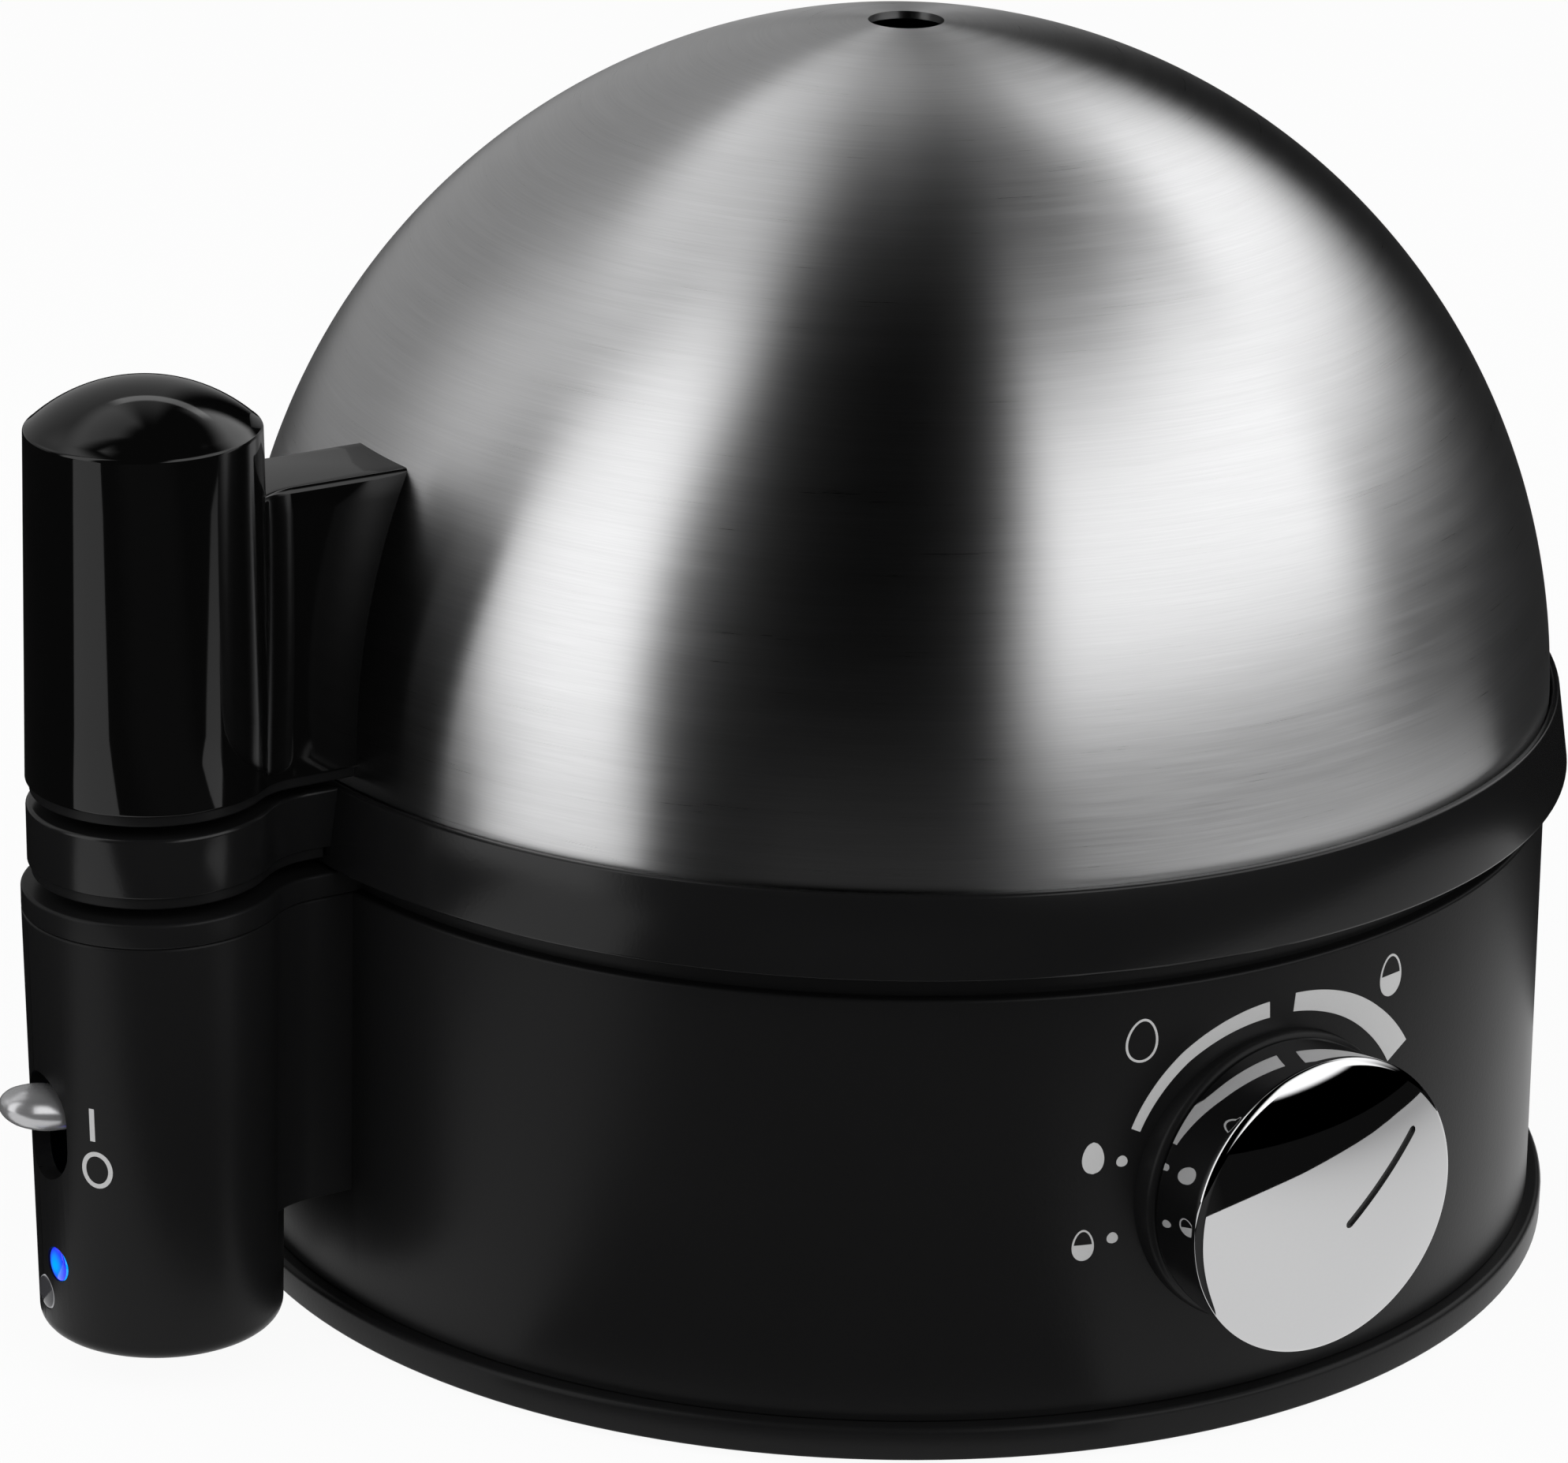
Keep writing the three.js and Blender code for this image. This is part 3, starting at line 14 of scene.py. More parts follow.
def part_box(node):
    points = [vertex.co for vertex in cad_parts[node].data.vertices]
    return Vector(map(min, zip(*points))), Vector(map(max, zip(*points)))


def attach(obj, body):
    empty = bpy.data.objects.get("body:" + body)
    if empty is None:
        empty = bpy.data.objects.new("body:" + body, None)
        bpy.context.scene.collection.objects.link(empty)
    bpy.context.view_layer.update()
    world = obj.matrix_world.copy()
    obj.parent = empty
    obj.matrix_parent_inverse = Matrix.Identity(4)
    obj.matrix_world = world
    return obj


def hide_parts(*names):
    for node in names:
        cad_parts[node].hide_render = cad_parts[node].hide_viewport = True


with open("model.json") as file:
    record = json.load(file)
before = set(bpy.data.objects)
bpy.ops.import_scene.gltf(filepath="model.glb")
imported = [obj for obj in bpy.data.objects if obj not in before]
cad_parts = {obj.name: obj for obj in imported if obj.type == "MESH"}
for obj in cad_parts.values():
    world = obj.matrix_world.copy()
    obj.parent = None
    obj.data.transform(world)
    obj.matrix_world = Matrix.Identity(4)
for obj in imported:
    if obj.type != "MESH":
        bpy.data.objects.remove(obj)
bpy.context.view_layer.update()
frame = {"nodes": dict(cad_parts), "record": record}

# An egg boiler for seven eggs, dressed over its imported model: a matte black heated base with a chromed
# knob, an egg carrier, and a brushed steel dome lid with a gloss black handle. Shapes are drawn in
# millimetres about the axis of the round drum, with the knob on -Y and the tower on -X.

log = logging.getLogger("egg_boiler")

MM = 0.001
FINE = 192
MEDIUM = 96
SMALL = 48
TOWER_DISTANCE = 109.6
KNOB_HEIGHT = 33.4
LEVER_HEIGHT = 34.3
HOUSING_TOP = 61.3
CAP_TOP = 64.5
RING_TOP = 68.6
LEDGE = 71.6
SPRING = 72.7
FOOT_PITCH = 62.0
PLATE_SCREW_PITCH = 82.7
TRAY_SCREW_PITCH = 82.3
EGG_HOLE_RADIUS = 18.0
TOWER = (-TOWER_DISTANCE, 0.0)
LENS_PLACES = ((-2.0, 15.9), (1.3, 10.8))
WHITE = (1.0, 1.0, 1.0, 1.0)
Point = tuple[float, float, float]
Flat = tuple[float, float]
Colour = tuple[float, float, float]


def drum_axis() -> Vector:
    """The place of the drum's axis on the floor, in metres: the middle of the dome's box."""
    low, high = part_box("lid_dome")
    return Vector(((low[0] + high[0]) / 2, (low[1] + high[1]) / 2, 0.0))


AXIS = drum_axis()


class Body(Enum):
    """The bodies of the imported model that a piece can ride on."""

    BASE = "base"
    KNOB = "knob"
    LEVER = "lever"
    CARRIER = "carrier"
    LID = "lid"


class Slot(Enum):
    """The record's material slots."""

    MATTE_BLACK = "matte_black_plastic"
    GLOSS_BLACK = "gloss_black_plastic"
    STEEL = "stainless_steel"
    CHROME = "chrome"
    SILVER = "silver_plastic"
    ALUMINIUM = "aluminium"
    ZINC = "zinc_steel"
    SHEATH = "element_sheath"
    CERAMIC = "ceramic"
    SILICONE = "silicone"
    RUBBER = "black_rubber"
    BOARD = "board_laminate"
    WHITE = "white_plastic"
    BLUE_LENS = "blue_lens"
    CLEAR_LENS = "clear_lens"


# --- Shapes ---


def turned(x: float, y: float, turn: float, middle: Sequence[float] = (0.0, 0.0)) -> Flat:
    """A flat point, turned about the origin and then moved."""
    c, s = math.cos(turn), math.sin(turn)
    return (middle[0] + x * c - y * s, middle[1] + x * s + y * c)


def read_off(table: Sequence[tuple[float, ...]], at: float) -> tuple[float, ...]:
    """Reads a table between its rows, whose first value only rises or only falls."""
    for before, after in zip(table, table[1:]):
        if min(before[0], after[0]) - 1e-6 <= at <= max(before[0], after[0]) + 1e-6:
            share = (at - before[0]) / (after[0] - before[0])
            return tuple(a + (b - a) * share for a, b in zip(before[1:], after[1:]))
    return table[-1][1:]


def soften(corners: Sequence[tuple[float, float, float]], steps: int = 5) -> list[Flat]:
    """Rounds the corners of a closed flat outline.

    Args:
        corners: x, y and corner radius of each corner, in order.
        steps: straight parts of each rounding.

    Returns:
        The points of the rounded outline.
    """
    points: list[Flat] = []
    count = len(corners)
    for i, (x, y, radius) in enumerate(corners):
        if radius <= 0:
            points.append((x, y))
            continue
        here = Vector((x, y))
        before = Vector(corners[i - 1][:2]) - here
        after = Vector(corners[(i + 1) % count][:2]) - here
        half = before.angle(after) / 2
        reach = min(radius / math.tan(half), before.length * 0.49, after.length * 0.49)
        round_radius = reach * math.tan(half)
        first = here + before.normalized() * reach
        last = here + after.normalized() * reach
        centre = here + (before.normalized() + after.normalized()).normalized() * (round_radius / math.sin(half))
        start = first - centre
        sweep = start.angle(last - centre)
        side = 1.0 if start.x * (last - centre).y - start.y * (last - centre).x > 0 else -1.0
        points += [turned(*start, side * sweep * k / steps, centre) for k in range(steps + 1)]
    return points


def arc(centre: Flat, radius: float, first: float, last: float, steps: int) -> list[Flat]:
    """Points of an arc from one angle to another, both ends included."""
    return [
        (centre[0] + radius * math.cos(first + (last - first) * k / steps),
         centre[1] + radius * math.sin(first + (last - first) * k / steps))
        for k in range(steps + 1)
    ]


def plain_mesh(name: str, points: Sequence[Point], faces: Sequence[tuple[int, ...]]) -> bpy.types.Mesh:
    """A mesh of points and faces."""
    made = bpy.data.meshes.new(name)
    made.from_pydata(points, [], faces)
    return made


@dataclass
class Form:
    """A closed shape in the making, in millimetres about the drum's axis."""

    points: list[Point] = field(default_factory=list)
    faces: list[tuple[int, ...]] = field(default_factory=list)
    uvs: list[tuple[Flat, ...]] = field(default_factory=list)

    def placed(self, matrix: Matrix) -> "Form":
        """The same form, turned and moved by a matrix."""
        return Form([tuple(matrix @ Vector(p)) for p in self.points], self.faces, self.uvs)

    def facing_front(self, height: float) -> "Form":
        """A form drawn along +Z, turned to face -Y at a height."""
        return Form([(x, -z, y + height) for x, y, z in self.points], self.faces, self.uvs)

    def facing_back(self, height: float) -> "Form":
        """A form drawn along +Z, turned to face +Y at a height."""
        return Form([(x, z, height - y) for x, y, z in self.points], self.faces, self.uvs)

    def facing_tower(self, across: float, height: float) -> "Form":
        """A form drawn along +Z, turned to face -X at a place across and a height."""
        return Form([(-z, y + across, x + height) for x, y, z in self.points], self.faces, self.uvs)

    def joined(self, other: "Form") -> "Form":
        """Both forms in one mesh."""
        start = len(self.points)
        faces = self.faces + [tuple(i + start for i in f) for f in other.faces]
        return Form(self.points + other.points, faces, self.uvs + other.uvs)

    def mesh(self, name: str) -> bpy.types.Mesh:
        """Makes a mesh with merged doubles and faces that point outwards.

        Args:
            name: the mesh's name.

        Returns:
            The mesh, still in millimetres.
        """
        made = plain_mesh(name, self.points, self.faces)
        if self.uvs:
            layer = made.uv_layers.new(name="surface")
            corners = [uv for face in self.uvs for uv in face]
            for loop, uv in zip(layer.data, corners):
                loop.uv = uv
        shell = bmesh.new()
        shell.from_mesh(made)
        bmesh.ops.remove_doubles(shell, verts=shell.verts, dist=1e-5)
        bmesh.ops.dissolve_degenerate(shell, edges=shell.edges, dist=1e-6)
        bmesh.ops.recalc_face_normals(shell, faces=shell.faces)
        shell.to_mesh(made)
        shell.free()
        return made


def revolved(profile: Sequence[Flat], steps: int = FINE, centre: Flat = (0.0, 0.0), first: float = 0.0) -> Form:
    """Turns a closed profile of radius and height about a standing axis.

    Args:
        profile: points of radius and height; the last one joins the first.
        steps: parts of a full turn.
        centre: the axis in plan.
        first: the angle of the first part.

    Returns:
        The closed form, with a UV map that runs along the profile and round the axis.
    """
    form = Form()
    count = len(profile)
    along = [0.0]
    for a, b in zip(profile, list(profile[1:]) + [profile[0]]):
        along.append(along[-1] + math.dist(a, b))
    for s in range(steps):
        angle = first + math.tau * s / steps
        form.points += [(*turned(r, 0.0, angle, centre), z) for r, z in profile]
    for s in range(steps):
        here, after = s * count, ((s + 1) % steps) * count
        for k in range(count):
            k2 = (k + 1) % count
            if profile[k][0] < 1e-9 and profile[k2][0] < 1e-9:
                continue
            form.faces.append((here + k, after + k, after + k2, here + k2))
            low, high = along[k] / along[-1], along[k + 1] / along[-1]
            left, right = s / steps, (s + 1) / steps
            form.uvs.append(((low, left), (low, right), (high, right), (high, left)))
    return form


def skinned(rings: Sequence[Sequence[Point]], closed: bool = False) -> Form:
    """Skins rings that have the same number of points.

    Args:
        rings: the points of each ring, in order.
        closed: whether the last ring joins the first; where it doesn't, both ends get a face.

    Returns:
        The closed form.
    """
    form = Form([point for ring in rings for point in ring])
    count, size = len(rings), len(rings[0])
    for i in range(count if closed else count - 1):
        here, after = i * size, (i + 1) % count * size
        form.faces += [(here + k, here + (k + 1) % size, after + (k + 1) % size, after + k) for k in range(size)]
    if not closed:
        form.faces += [tuple(range(size))[::-1], tuple(range((count - 1) * size, count * size))]
    return form


def stacked(sections: Sequence[tuple[Sequence[Flat], float]]) -> Form:
    """Skins a pile of outlines that have the same number of points, each with its height."""
    return skinned([[(x, y, z) for x, y in outline] for outline, z in sections])


def rod(radius: float, bottom: float, top: float, steps: int = SMALL, edge: float = 0.0) -> Form:
    """A round bar along +Z with rounded edges."""
    return revolved(soften([(0, bottom, 0), (radius, bottom, edge), (radius, top, edge), (0, top, 0)], 3), steps)


def block(size: Point, middle: Point) -> Form:
    """A block of a size with its middle at a place, for cutting."""
    w, d, h = (value / 2 for value in size)
    x, y, z = middle
    outline = [(x - w, y - d), (x + w, y - d), (x + w, y + d), (x - w, y + d)]
    return stacked([(outline, z - h), (outline, z + h)])


def slot_outline(length: float, width: float, steps: int = 12) -> list[Flat]:
    """A slot with round ends, its long side along x."""
    radius = width / 2
    middle = length / 2 - radius
    right = arc((middle, 0.0), radius, -math.pi / 2, math.pi / 2, steps)
    left = arc((-middle, 0.0), radius, math.pi / 2, 3 * math.pi / 2, steps)
    return right + left


def loose_object(name: str, mesh: bpy.types.Mesh) -> bpy.types.Object:
    """An object of a mesh, linked to the scene."""
    made = bpy.data.objects.new(name, mesh)
    bpy.context.scene.collection.objects.link(made)
    return made


def evaluated_mesh(source: bpy.types.Object) -> bpy.types.Mesh:
    """The mesh of an object with its modifiers applied."""
    bpy.context.view_layer.update()
    graph = bpy.context.evaluated_depsgraph_get()
    return bpy.data.meshes.new_from_object(source.evaluated_get(graph), depsgraph=graph)


def carved(name: str, base: Form | bpy.types.Mesh, adds: Iterable[Form] = (),
           cuts: Iterable[Form | bpy.types.Mesh] = ()) -> bpy.types.Mesh:
    """Joins solids to a base and cuts others out of it.

    Args:
        name: the mesh's name.
        base: the form that is worked on.
        adds: forms that are joined to it.
        cuts: forms that are taken away from it.

    Returns:
        The mesh, still in millimetres.
    """
    start = base.mesh(name) if isinstance(base, Form) else base
    work = loose_object(name + "_work", start)
    tools: list[bpy.types.Object] = []
    for operation, shapes in (("UNION", adds), ("DIFFERENCE", cuts)):
        for shape in shapes:
            mesh = shape.mesh(name + "_tool") if isinstance(shape, Form) else shape
            tool = loose_object(name + "_tool", mesh)
            step = work.modifiers.new("carve", "BOOLEAN")
            step.operation = operation
            step.solver = "MANIFOLD"
            step.object = tool
            tools.append(tool)
    result = evaluated_mesh(work)
    for loose in (work, *tools):
        bpy.data.objects.remove(loose)
    result.name = name
    return result


@dataclass(frozen=True)
class NeckPlan:
    """The outline in plan that all handle levels share: a round tower, and a neck with concave fillets."""

    half_width: float = 9.7
    fillet: float = 10.0
    tower_radius: float = 16.4
    inner_end: float = 85.2
    sunk: float = 0.0
    bite: float = 0.0
    arc_steps: int = 14
    tower_steps: int = 72
    end_steps: int = 8

    def outline(self, inset: float = 0.0, tower_radius: float | None = None, half_width: float | None = None,
                inner_end: float | None = None) -> list[Flat]:
        """The outline, drawn in from its edge.

        Args:
            inset: how far the outline is drawn in.
            tower_radius: the tower's radius here, where it isn't the plan's own.
            half_width: half the neck's width here, where it isn't the plan's own.
            inner_end: radius of the round end at the drum, where it isn't the plan's own.

        Returns:
            The points, always the same number.
        """
        radius = (self.tower_radius if tower_radius is None else tower_radius) - inset - self.bite
        half = (self.half_width if half_width is None else half_width) - inset
        end = self.inner_end if inner_end is None else inner_end
        fillet = self.fillet + inset
        reach = math.sqrt((radius + fillet) ** 2 - (half + fillet) ** 2)
        turn = math.atan2(half + fillet, reach)
        upper = arc((reach - TOWER_DISTANCE, half + fillet), fillet, -math.pi / 2, turn - math.pi, self.arc_steps)
        tower = arc(TOWER, radius + self.bite - self.sunk, turn, math.tau - turn, self.tower_steps)[1:-1]
        lower = [(x, -y) for x, y in reversed(upper)]
        spread = math.asin(half / end)
        return upper + tower + lower + arc((0.0, 0.0), end, math.pi + spread, math.pi - spread, self.end_steps)


def rounded_stack(outline: Callable[[float, float], list[Flat]], bottom: float, top: float, low_edge: float,
                  high_edge: float, levels: int = 1, steps: int = 5) -> Form:
    """A pile of one outline with rounded lower and upper edges.

    Args:
        outline: gives the outline for an inset and a height.
        bottom: lower height.
        top: upper height.
        low_edge: rounding of the lower edge.
        high_edge: rounding of the upper edge.
        levels: straight parts between the two roundings.
        steps: parts of each rounding.

    Returns:
        The closed form.
    """
    foot, shoulder = bottom + low_edge, top - high_edge
    places = arc((low_edge, foot), low_edge, -math.pi / 2, -math.pi, steps)
    places += [(0.0, foot + (shoulder - foot) * k / levels) for k in range(1, levels)]
    places += arc((high_edge, shoulder), high_edge, math.pi, math.pi / 2, steps)
    return stacked([(outline(inset, z), z) for inset, z in places])


# --- Geometry Nodes ---


@dataclass
class NodeTree:
    """A small hand for building a node tree."""

    tree: bpy.types.NodeTree

    def add(self, kind: str, values: dict[str, object] | None = None, **settings: object) -> bpy.types.Node:
        """Adds a node.

        Args:
            kind: the node's type.
            values: input socket names with a value, or a socket to link from.
            settings: properties of the node.

        Returns:
            The node.
        """
        node = self.tree.nodes.new(kind)
        for key, value in settings.items():
            setattr(node, key, value)
        for key, value in (values or {}).items():
            target = node.inputs[int(key)] if key.isdigit() else node.inputs[key]
            if isinstance(value, bpy.types.NodeSocket):
                self.tree.links.new(value, target)
            else:
                target.default_value = value
        return node

    def link(self, source: bpy.types.NodeSocket, target: bpy.types.NodeSocket) -> None:
        """Links two sockets."""
        self.tree.links.new(source, target)

    def math(self, operation: str, *values: object) -> bpy.types.NodeSocket:
        """Adds a Math node and gives its output."""
        inputs = {str(i): value for i, value in enumerate(values)}
        return self.add("ShaderNodeMath", inputs, operation=operation).outputs[0]

    def vector(self, operation: str, first: object, second: object = (0.0, 0.0, 0.0)) -> bpy.types.NodeSocket:
        """Adds a Vector Math node for one or two vectors, or a vector and a scale, and gives its output."""
        inputs = {"0": first, "Scale" if operation == "SCALE" else "1": second}
        node = self.add("ShaderNodeVectorMath", inputs, operation=operation)
        return node.outputs["Value" if operation in ("DOT_PRODUCT", "LENGTH") else "Vector"]

    def noise(self, vector: object, scale: object, detail: float, roughness: float) -> bpy.types.NodeSocket:
        """Adds a Noise Texture node and gives its value."""
        return self.add("ShaderNodeTexNoise", {"Vector": vector, "Scale": scale, "Detail": detail,
                                               "Roughness": roughness}).outputs[0]

    def ramp(self, value: object, first: object, last: object, low: float = 0.0, high: float = 1.0,
             kind: str = "SMOOTHSTEP") -> bpy.types.NodeSocket:
        """Runs from low to high while a value runs from first to last, and stays there beyond."""
        return self.add("ShaderNodeMapRange", {
            "Value": value, "From Min": first, "From Max": last, "To Min": low, "To Max": high,
        }, interpolation_type=kind).outputs[0]

    def combined(self, **values: object) -> bpy.types.NodeSocket:
        """Makes a vector of the values given for X, Y and Z."""
        return self.add("ShaderNodeCombineXYZ", values).outputs[0]

    def place(self) -> bpy.types.NodeSocket:
        """The place on a piece, in its own coordinates."""
        return self.add("ShaderNodeTexCoord").outputs["Object"]

    def seen(self) -> bpy.types.NodeSocket:
        """1 for rays of the camera, of mirrors and of glass, and 0 for others."""
        path = self.add("ShaderNodeLightPath").outputs
        seen = self.math("MAXIMUM", path["Is Camera Ray"], path["Is Glossy Ray"])
        return self.math("MAXIMUM", seen, path["Is Transmission Ray"])

    def surface(self, shader: bpy.types.Node) -> None:
        """Ends a material in a shader."""
        self.add("ShaderNodeOutputMaterial", {"Surface": shader.outputs[0]})

    def inside(self) -> bpy.types.NodeOutputs:
        """The sockets that bring a group's inputs."""
        return self.tree.nodes["In"].outputs

    def outside(self) -> bpy.types.NodeInputs:
        """The sockets that take a group's outputs."""
        return self.tree.nodes["Out"].inputs


def node_group(kind: str, name: str, inputs: dict[str, tuple[str, object]], outputs: dict[str, str]) -> NodeTree:
    """A node group with named inputs and outputs.

    Args:
        kind: the type of its tree.
        name: the group's name.
        inputs: name of each input with its socket type and first value.
        outputs: name of each output with its socket type.

    Returns:
        The group with its input and output nodes, called In and Out.
    """
    tree = bpy.data.node_groups.new(name, kind)
    for label, (socket_type, value) in inputs.items():
        socket = tree.interface.new_socket(label, in_out="INPUT", socket_type=socket_type)
        if value is not None:
            socket.default_value = value
    for label, socket_type in outputs.items():
        tree.interface.new_socket(label, in_out="OUTPUT", socket_type=socket_type)
    hand = NodeTree(tree)
    hand.add("NodeGroupInput").name = "In"
    hand.add("NodeGroupOutput").name = "Out"
    return hand


def blank_material(name: str) -> tuple[bpy.types.Material, NodeTree]:
    """A material without nodes, and a hand for its tree."""
    made = bpy.data.materials.new(name)
    made.use_nodes = True
    made.node_tree.nodes.clear()
    return made, NodeTree(made.node_tree)


def geometry_tree(name: str, sizes: dict[str, tuple[str, object]]) -> NodeTree:
    """A Geometry Nodes tree with named inputs for its sizes."""
    return node_group("GeometryNodeTree", name, {"Geometry": ("NodeSocketGeometry", None), **sizes},
                      {"Geometry": "NodeSocketGeometry"})


def grown(name: str, hand: NodeTree, start: bpy.types.Mesh, values: dict[str, object]) -> bpy.types.Mesh:
    """Runs a Geometry Nodes tree on a mesh and takes the result as a plain mesh.

    Args:
        name: the mesh's name.
        hand: the tree.
        start: the mesh that goes in.
        values: input names with their values.

    Returns:
        The finished mesh, its modifier gone.
    """
    holder = loose_object(name + "_holder", start)
    step = holder.modifiers.new("grow", "NODES")
    step.node_group = hand.tree
    for item in hand.tree.interface.items_tree:
        if item.item_type == "SOCKET" and item.in_out == "INPUT" and item.name in values:
            step[item.identifier] = values[item.name]
    result = evaluated_mesh(holder)
    holder.modifiers.remove(step)
    bpy.data.objects.remove(holder)
    result.name = name
    return result


class Repeats:
    """The Geometry Nodes trees for what repeats on the boiler."""

    def __init__(self) -> None:
        """Builds the trees."""
        self.ring = self._ring_tree()
        self.row = self._row_tree()
        self.tray = self._tray_tree()

    def _finish(self, hand: NodeTree, geometry: bpy.types.NodeSocket) -> NodeTree:
        """Ends a tree with merged doubles."""
        real = hand.add("GeometryNodeRealizeInstances", {"Geometry": geometry})
        merged = hand.add("GeometryNodeMergeByDistance", {"Geometry": real.outputs[0], "Distance": 1e-5})
        hand.link(merged.outputs[0], hand.outside()[0])
        return hand

    def _moved(self, hand: NodeTree, count: object, place: bpy.types.NodeSocket) -> bpy.types.NodeSocket:
        """Points at the places that a field gives."""
        line = hand.add("GeometryNodeMeshLine", {"Count": count})
        return hand.add("GeometryNodeSetPosition", {"Geometry": line.outputs[0], "Position": place}).outputs[0]

    def _copies(self, hand: NodeTree, points: bpy.types.NodeSocket, shape: bpy.types.NodeSocket,
                turn: object = (0.0, 0.0, 0.0)) -> bpy.types.NodeSocket:
        """A copy of a shape on each point."""
        return hand.add("GeometryNodeInstanceOnPoints", {
            "Points": points, "Instance": shape, "Rotation": turn}).outputs[0]

    def _joined(self, hand: NodeTree, parts: Iterable[bpy.types.NodeSocket]) -> bpy.types.NodeSocket:
        """Geometry joined in order."""
        whole = hand.add("GeometryNodeJoinGeometry")
        for part in parts:
            hand.link(part, whole.inputs[0])
        return whole.outputs[0]

    def _round_points(self, hand: NodeTree, count: object, first: object, reach: object,
                      height: object = 0.0) -> tuple[bpy.types.NodeSocket, bpy.types.NodeSocket]:
        """Points round the drum's axis.

        Args:
            hand: the tree.
            count: how many.
            first: angle of the first one.
            reach: their distance from the axis.
            height: their height.

        Returns:
            The points, and the angle of each.
        """
        share = hand.math("DIVIDE", hand.add("GeometryNodeInputIndex").outputs[0], count)
        angle = hand.math("MULTIPLY_ADD", share, math.tau, first)
        place = hand.combined(X=hand.math("MULTIPLY", hand.math("COSINE", angle), reach),
                              Y=hand.math("MULTIPLY", hand.math("SINE", angle), reach), Z=height)
        return self._moved(hand, count, place), angle

    def _ring_tree(self) -> NodeTree:
        """Copies of a mesh round the drum's axis, each turned to face outwards."""
        hand = geometry_tree("copies in a ring", {
            "Count": ("NodeSocketInt", 4), "Pitch radius": ("NodeSocketFloat", 60.0),
            "First angle": ("NodeSocketFloat", 0.0), "Height": ("NodeSocketFloat", 0.0),
        })
        inside = hand.inside()
        points, angle = self._round_points(hand, inside["Count"], inside["First angle"], inside["Pitch radius"],
                                           inside["Height"])
        return self._finish(hand, self._copies(hand, points, inside["Geometry"], hand.combined(Z=angle)))

    def _row_tree(self) -> NodeTree:
        """Copies of a mesh in a row that has its middle on the drum's axis."""
        hand = geometry_tree("copies in a row", {
            "Count": ("NodeSocketInt", 2), "Step": ("NodeSocketVector", (0.0, 6.0, 0.0))})
        inside = hand.inside()
        half = hand.math("MULTIPLY_ADD", inside["Count"], 0.5, -0.5)
        share = hand.math("SUBTRACT", hand.add("GeometryNodeInputIndex").outputs[0], half)
        points = self._moved(hand, inside["Count"], hand.vector("SCALE", inside["Step"], share))
        return self._finish(hand, self._copies(hand, points, inside["Geometry"]))

    def _tray_tree(self) -> NodeTree:
        """The egg tray's sheet with its egg, steam and screw holes, and a collar under each egg hole."""
        hand = geometry_tree("egg tray sheet", {
            "Sheet radius": ("NodeSocketFloat", 84.0), "Thickness": ("NodeSocketFloat", 1.2),
            "Egg hole radius": ("NodeSocketFloat", EGG_HOLE_RADIUS), "Egg pitch": ("NodeSocketFloat", 52.0),
            "Steam hole radius": ("NodeSocketFloat", 4.0), "Steam pitch": ("NodeSocketFloat", 50.4),
            "Screw hole radius": ("NodeSocketFloat", 1.2), "Screw pitch": ("NodeSocketFloat", TRAY_SCREW_PITCH),
            "Height": ("NodeSocketFloat", LEDGE), "Collar": ("NodeSocketObject", None),
        })
        inside = hand.inside()
        collar = hand.add("GeometryNodeObjectInfo", {"Object": inside["Collar"]}).outputs["Geometry"]
        rim = hand.add("GeometryNodeCurvePrimitiveCircle", {"Resolution": FINE, "Radius": inside["Sheet radius"]})
        loops, collars = [rim.outputs[0]], []
        for label, reach, count, first, steps in (
                ("Egg hole radius", 0.0, 1, 0.0, MEDIUM),
                ("Egg hole radius", inside["Egg pitch"], 6, math.pi / 2, MEDIUM),
                ("Steam hole radius", inside["Steam pitch"], 6, 2 * math.pi / 3, SMALL),
                ("Screw hole radius", inside["Screw pitch"], 3, math.pi / 3, 16)):
            hole = hand.add("GeometryNodeCurvePrimitiveCircle", {"Resolution": steps, "Radius": inside[label]})
            points, _ = self._round_points(hand, count, first, reach)
            holes = self._copies(hand, points, hole.outputs[0])
            loops.append(hand.add("GeometryNodeRealizeInstances", {"Geometry": holes}).outputs[0])
            if label == "Egg hole radius":
                collars.append(self._copies(hand, points, collar))
        filled = hand.add("GeometryNodeFillCurve", {"Curve": self._joined(hand, loops)})
        raised = hand.add("GeometryNodeExtrudeMesh", {
            "Mesh": filled.outputs[0], "Offset": (0.0, 0.0, 1.0), "Offset Scale": inside["Thickness"],
            "Individual": False})
        under = hand.add("GeometryNodeFlipFaces", {"Mesh": filled.outputs[0]})
        placed = hand.add("GeometryNodeTransform", {
            "Geometry": self._joined(hand, (under.outputs[0], raised.outputs[0])),
            "Translation": hand.combined(Z=inside["Height"])})
        return self._finish(hand, self._joined(hand, (placed.outputs[0], *collars)))


# --- Finishes ---


def effect_group(name: str, inputs: dict[str, tuple[str, object]]) -> NodeTree:
    """A shader group that gives a colour, a roughness and a height."""
    return node_group("ShaderNodeTree", name, {"Vector": ("NodeSocketVector", None), **inputs}, {
        "Colour": "NodeSocketColor", "Roughness": "NodeSocketFloat", "Height": "NodeSocketFloat"})


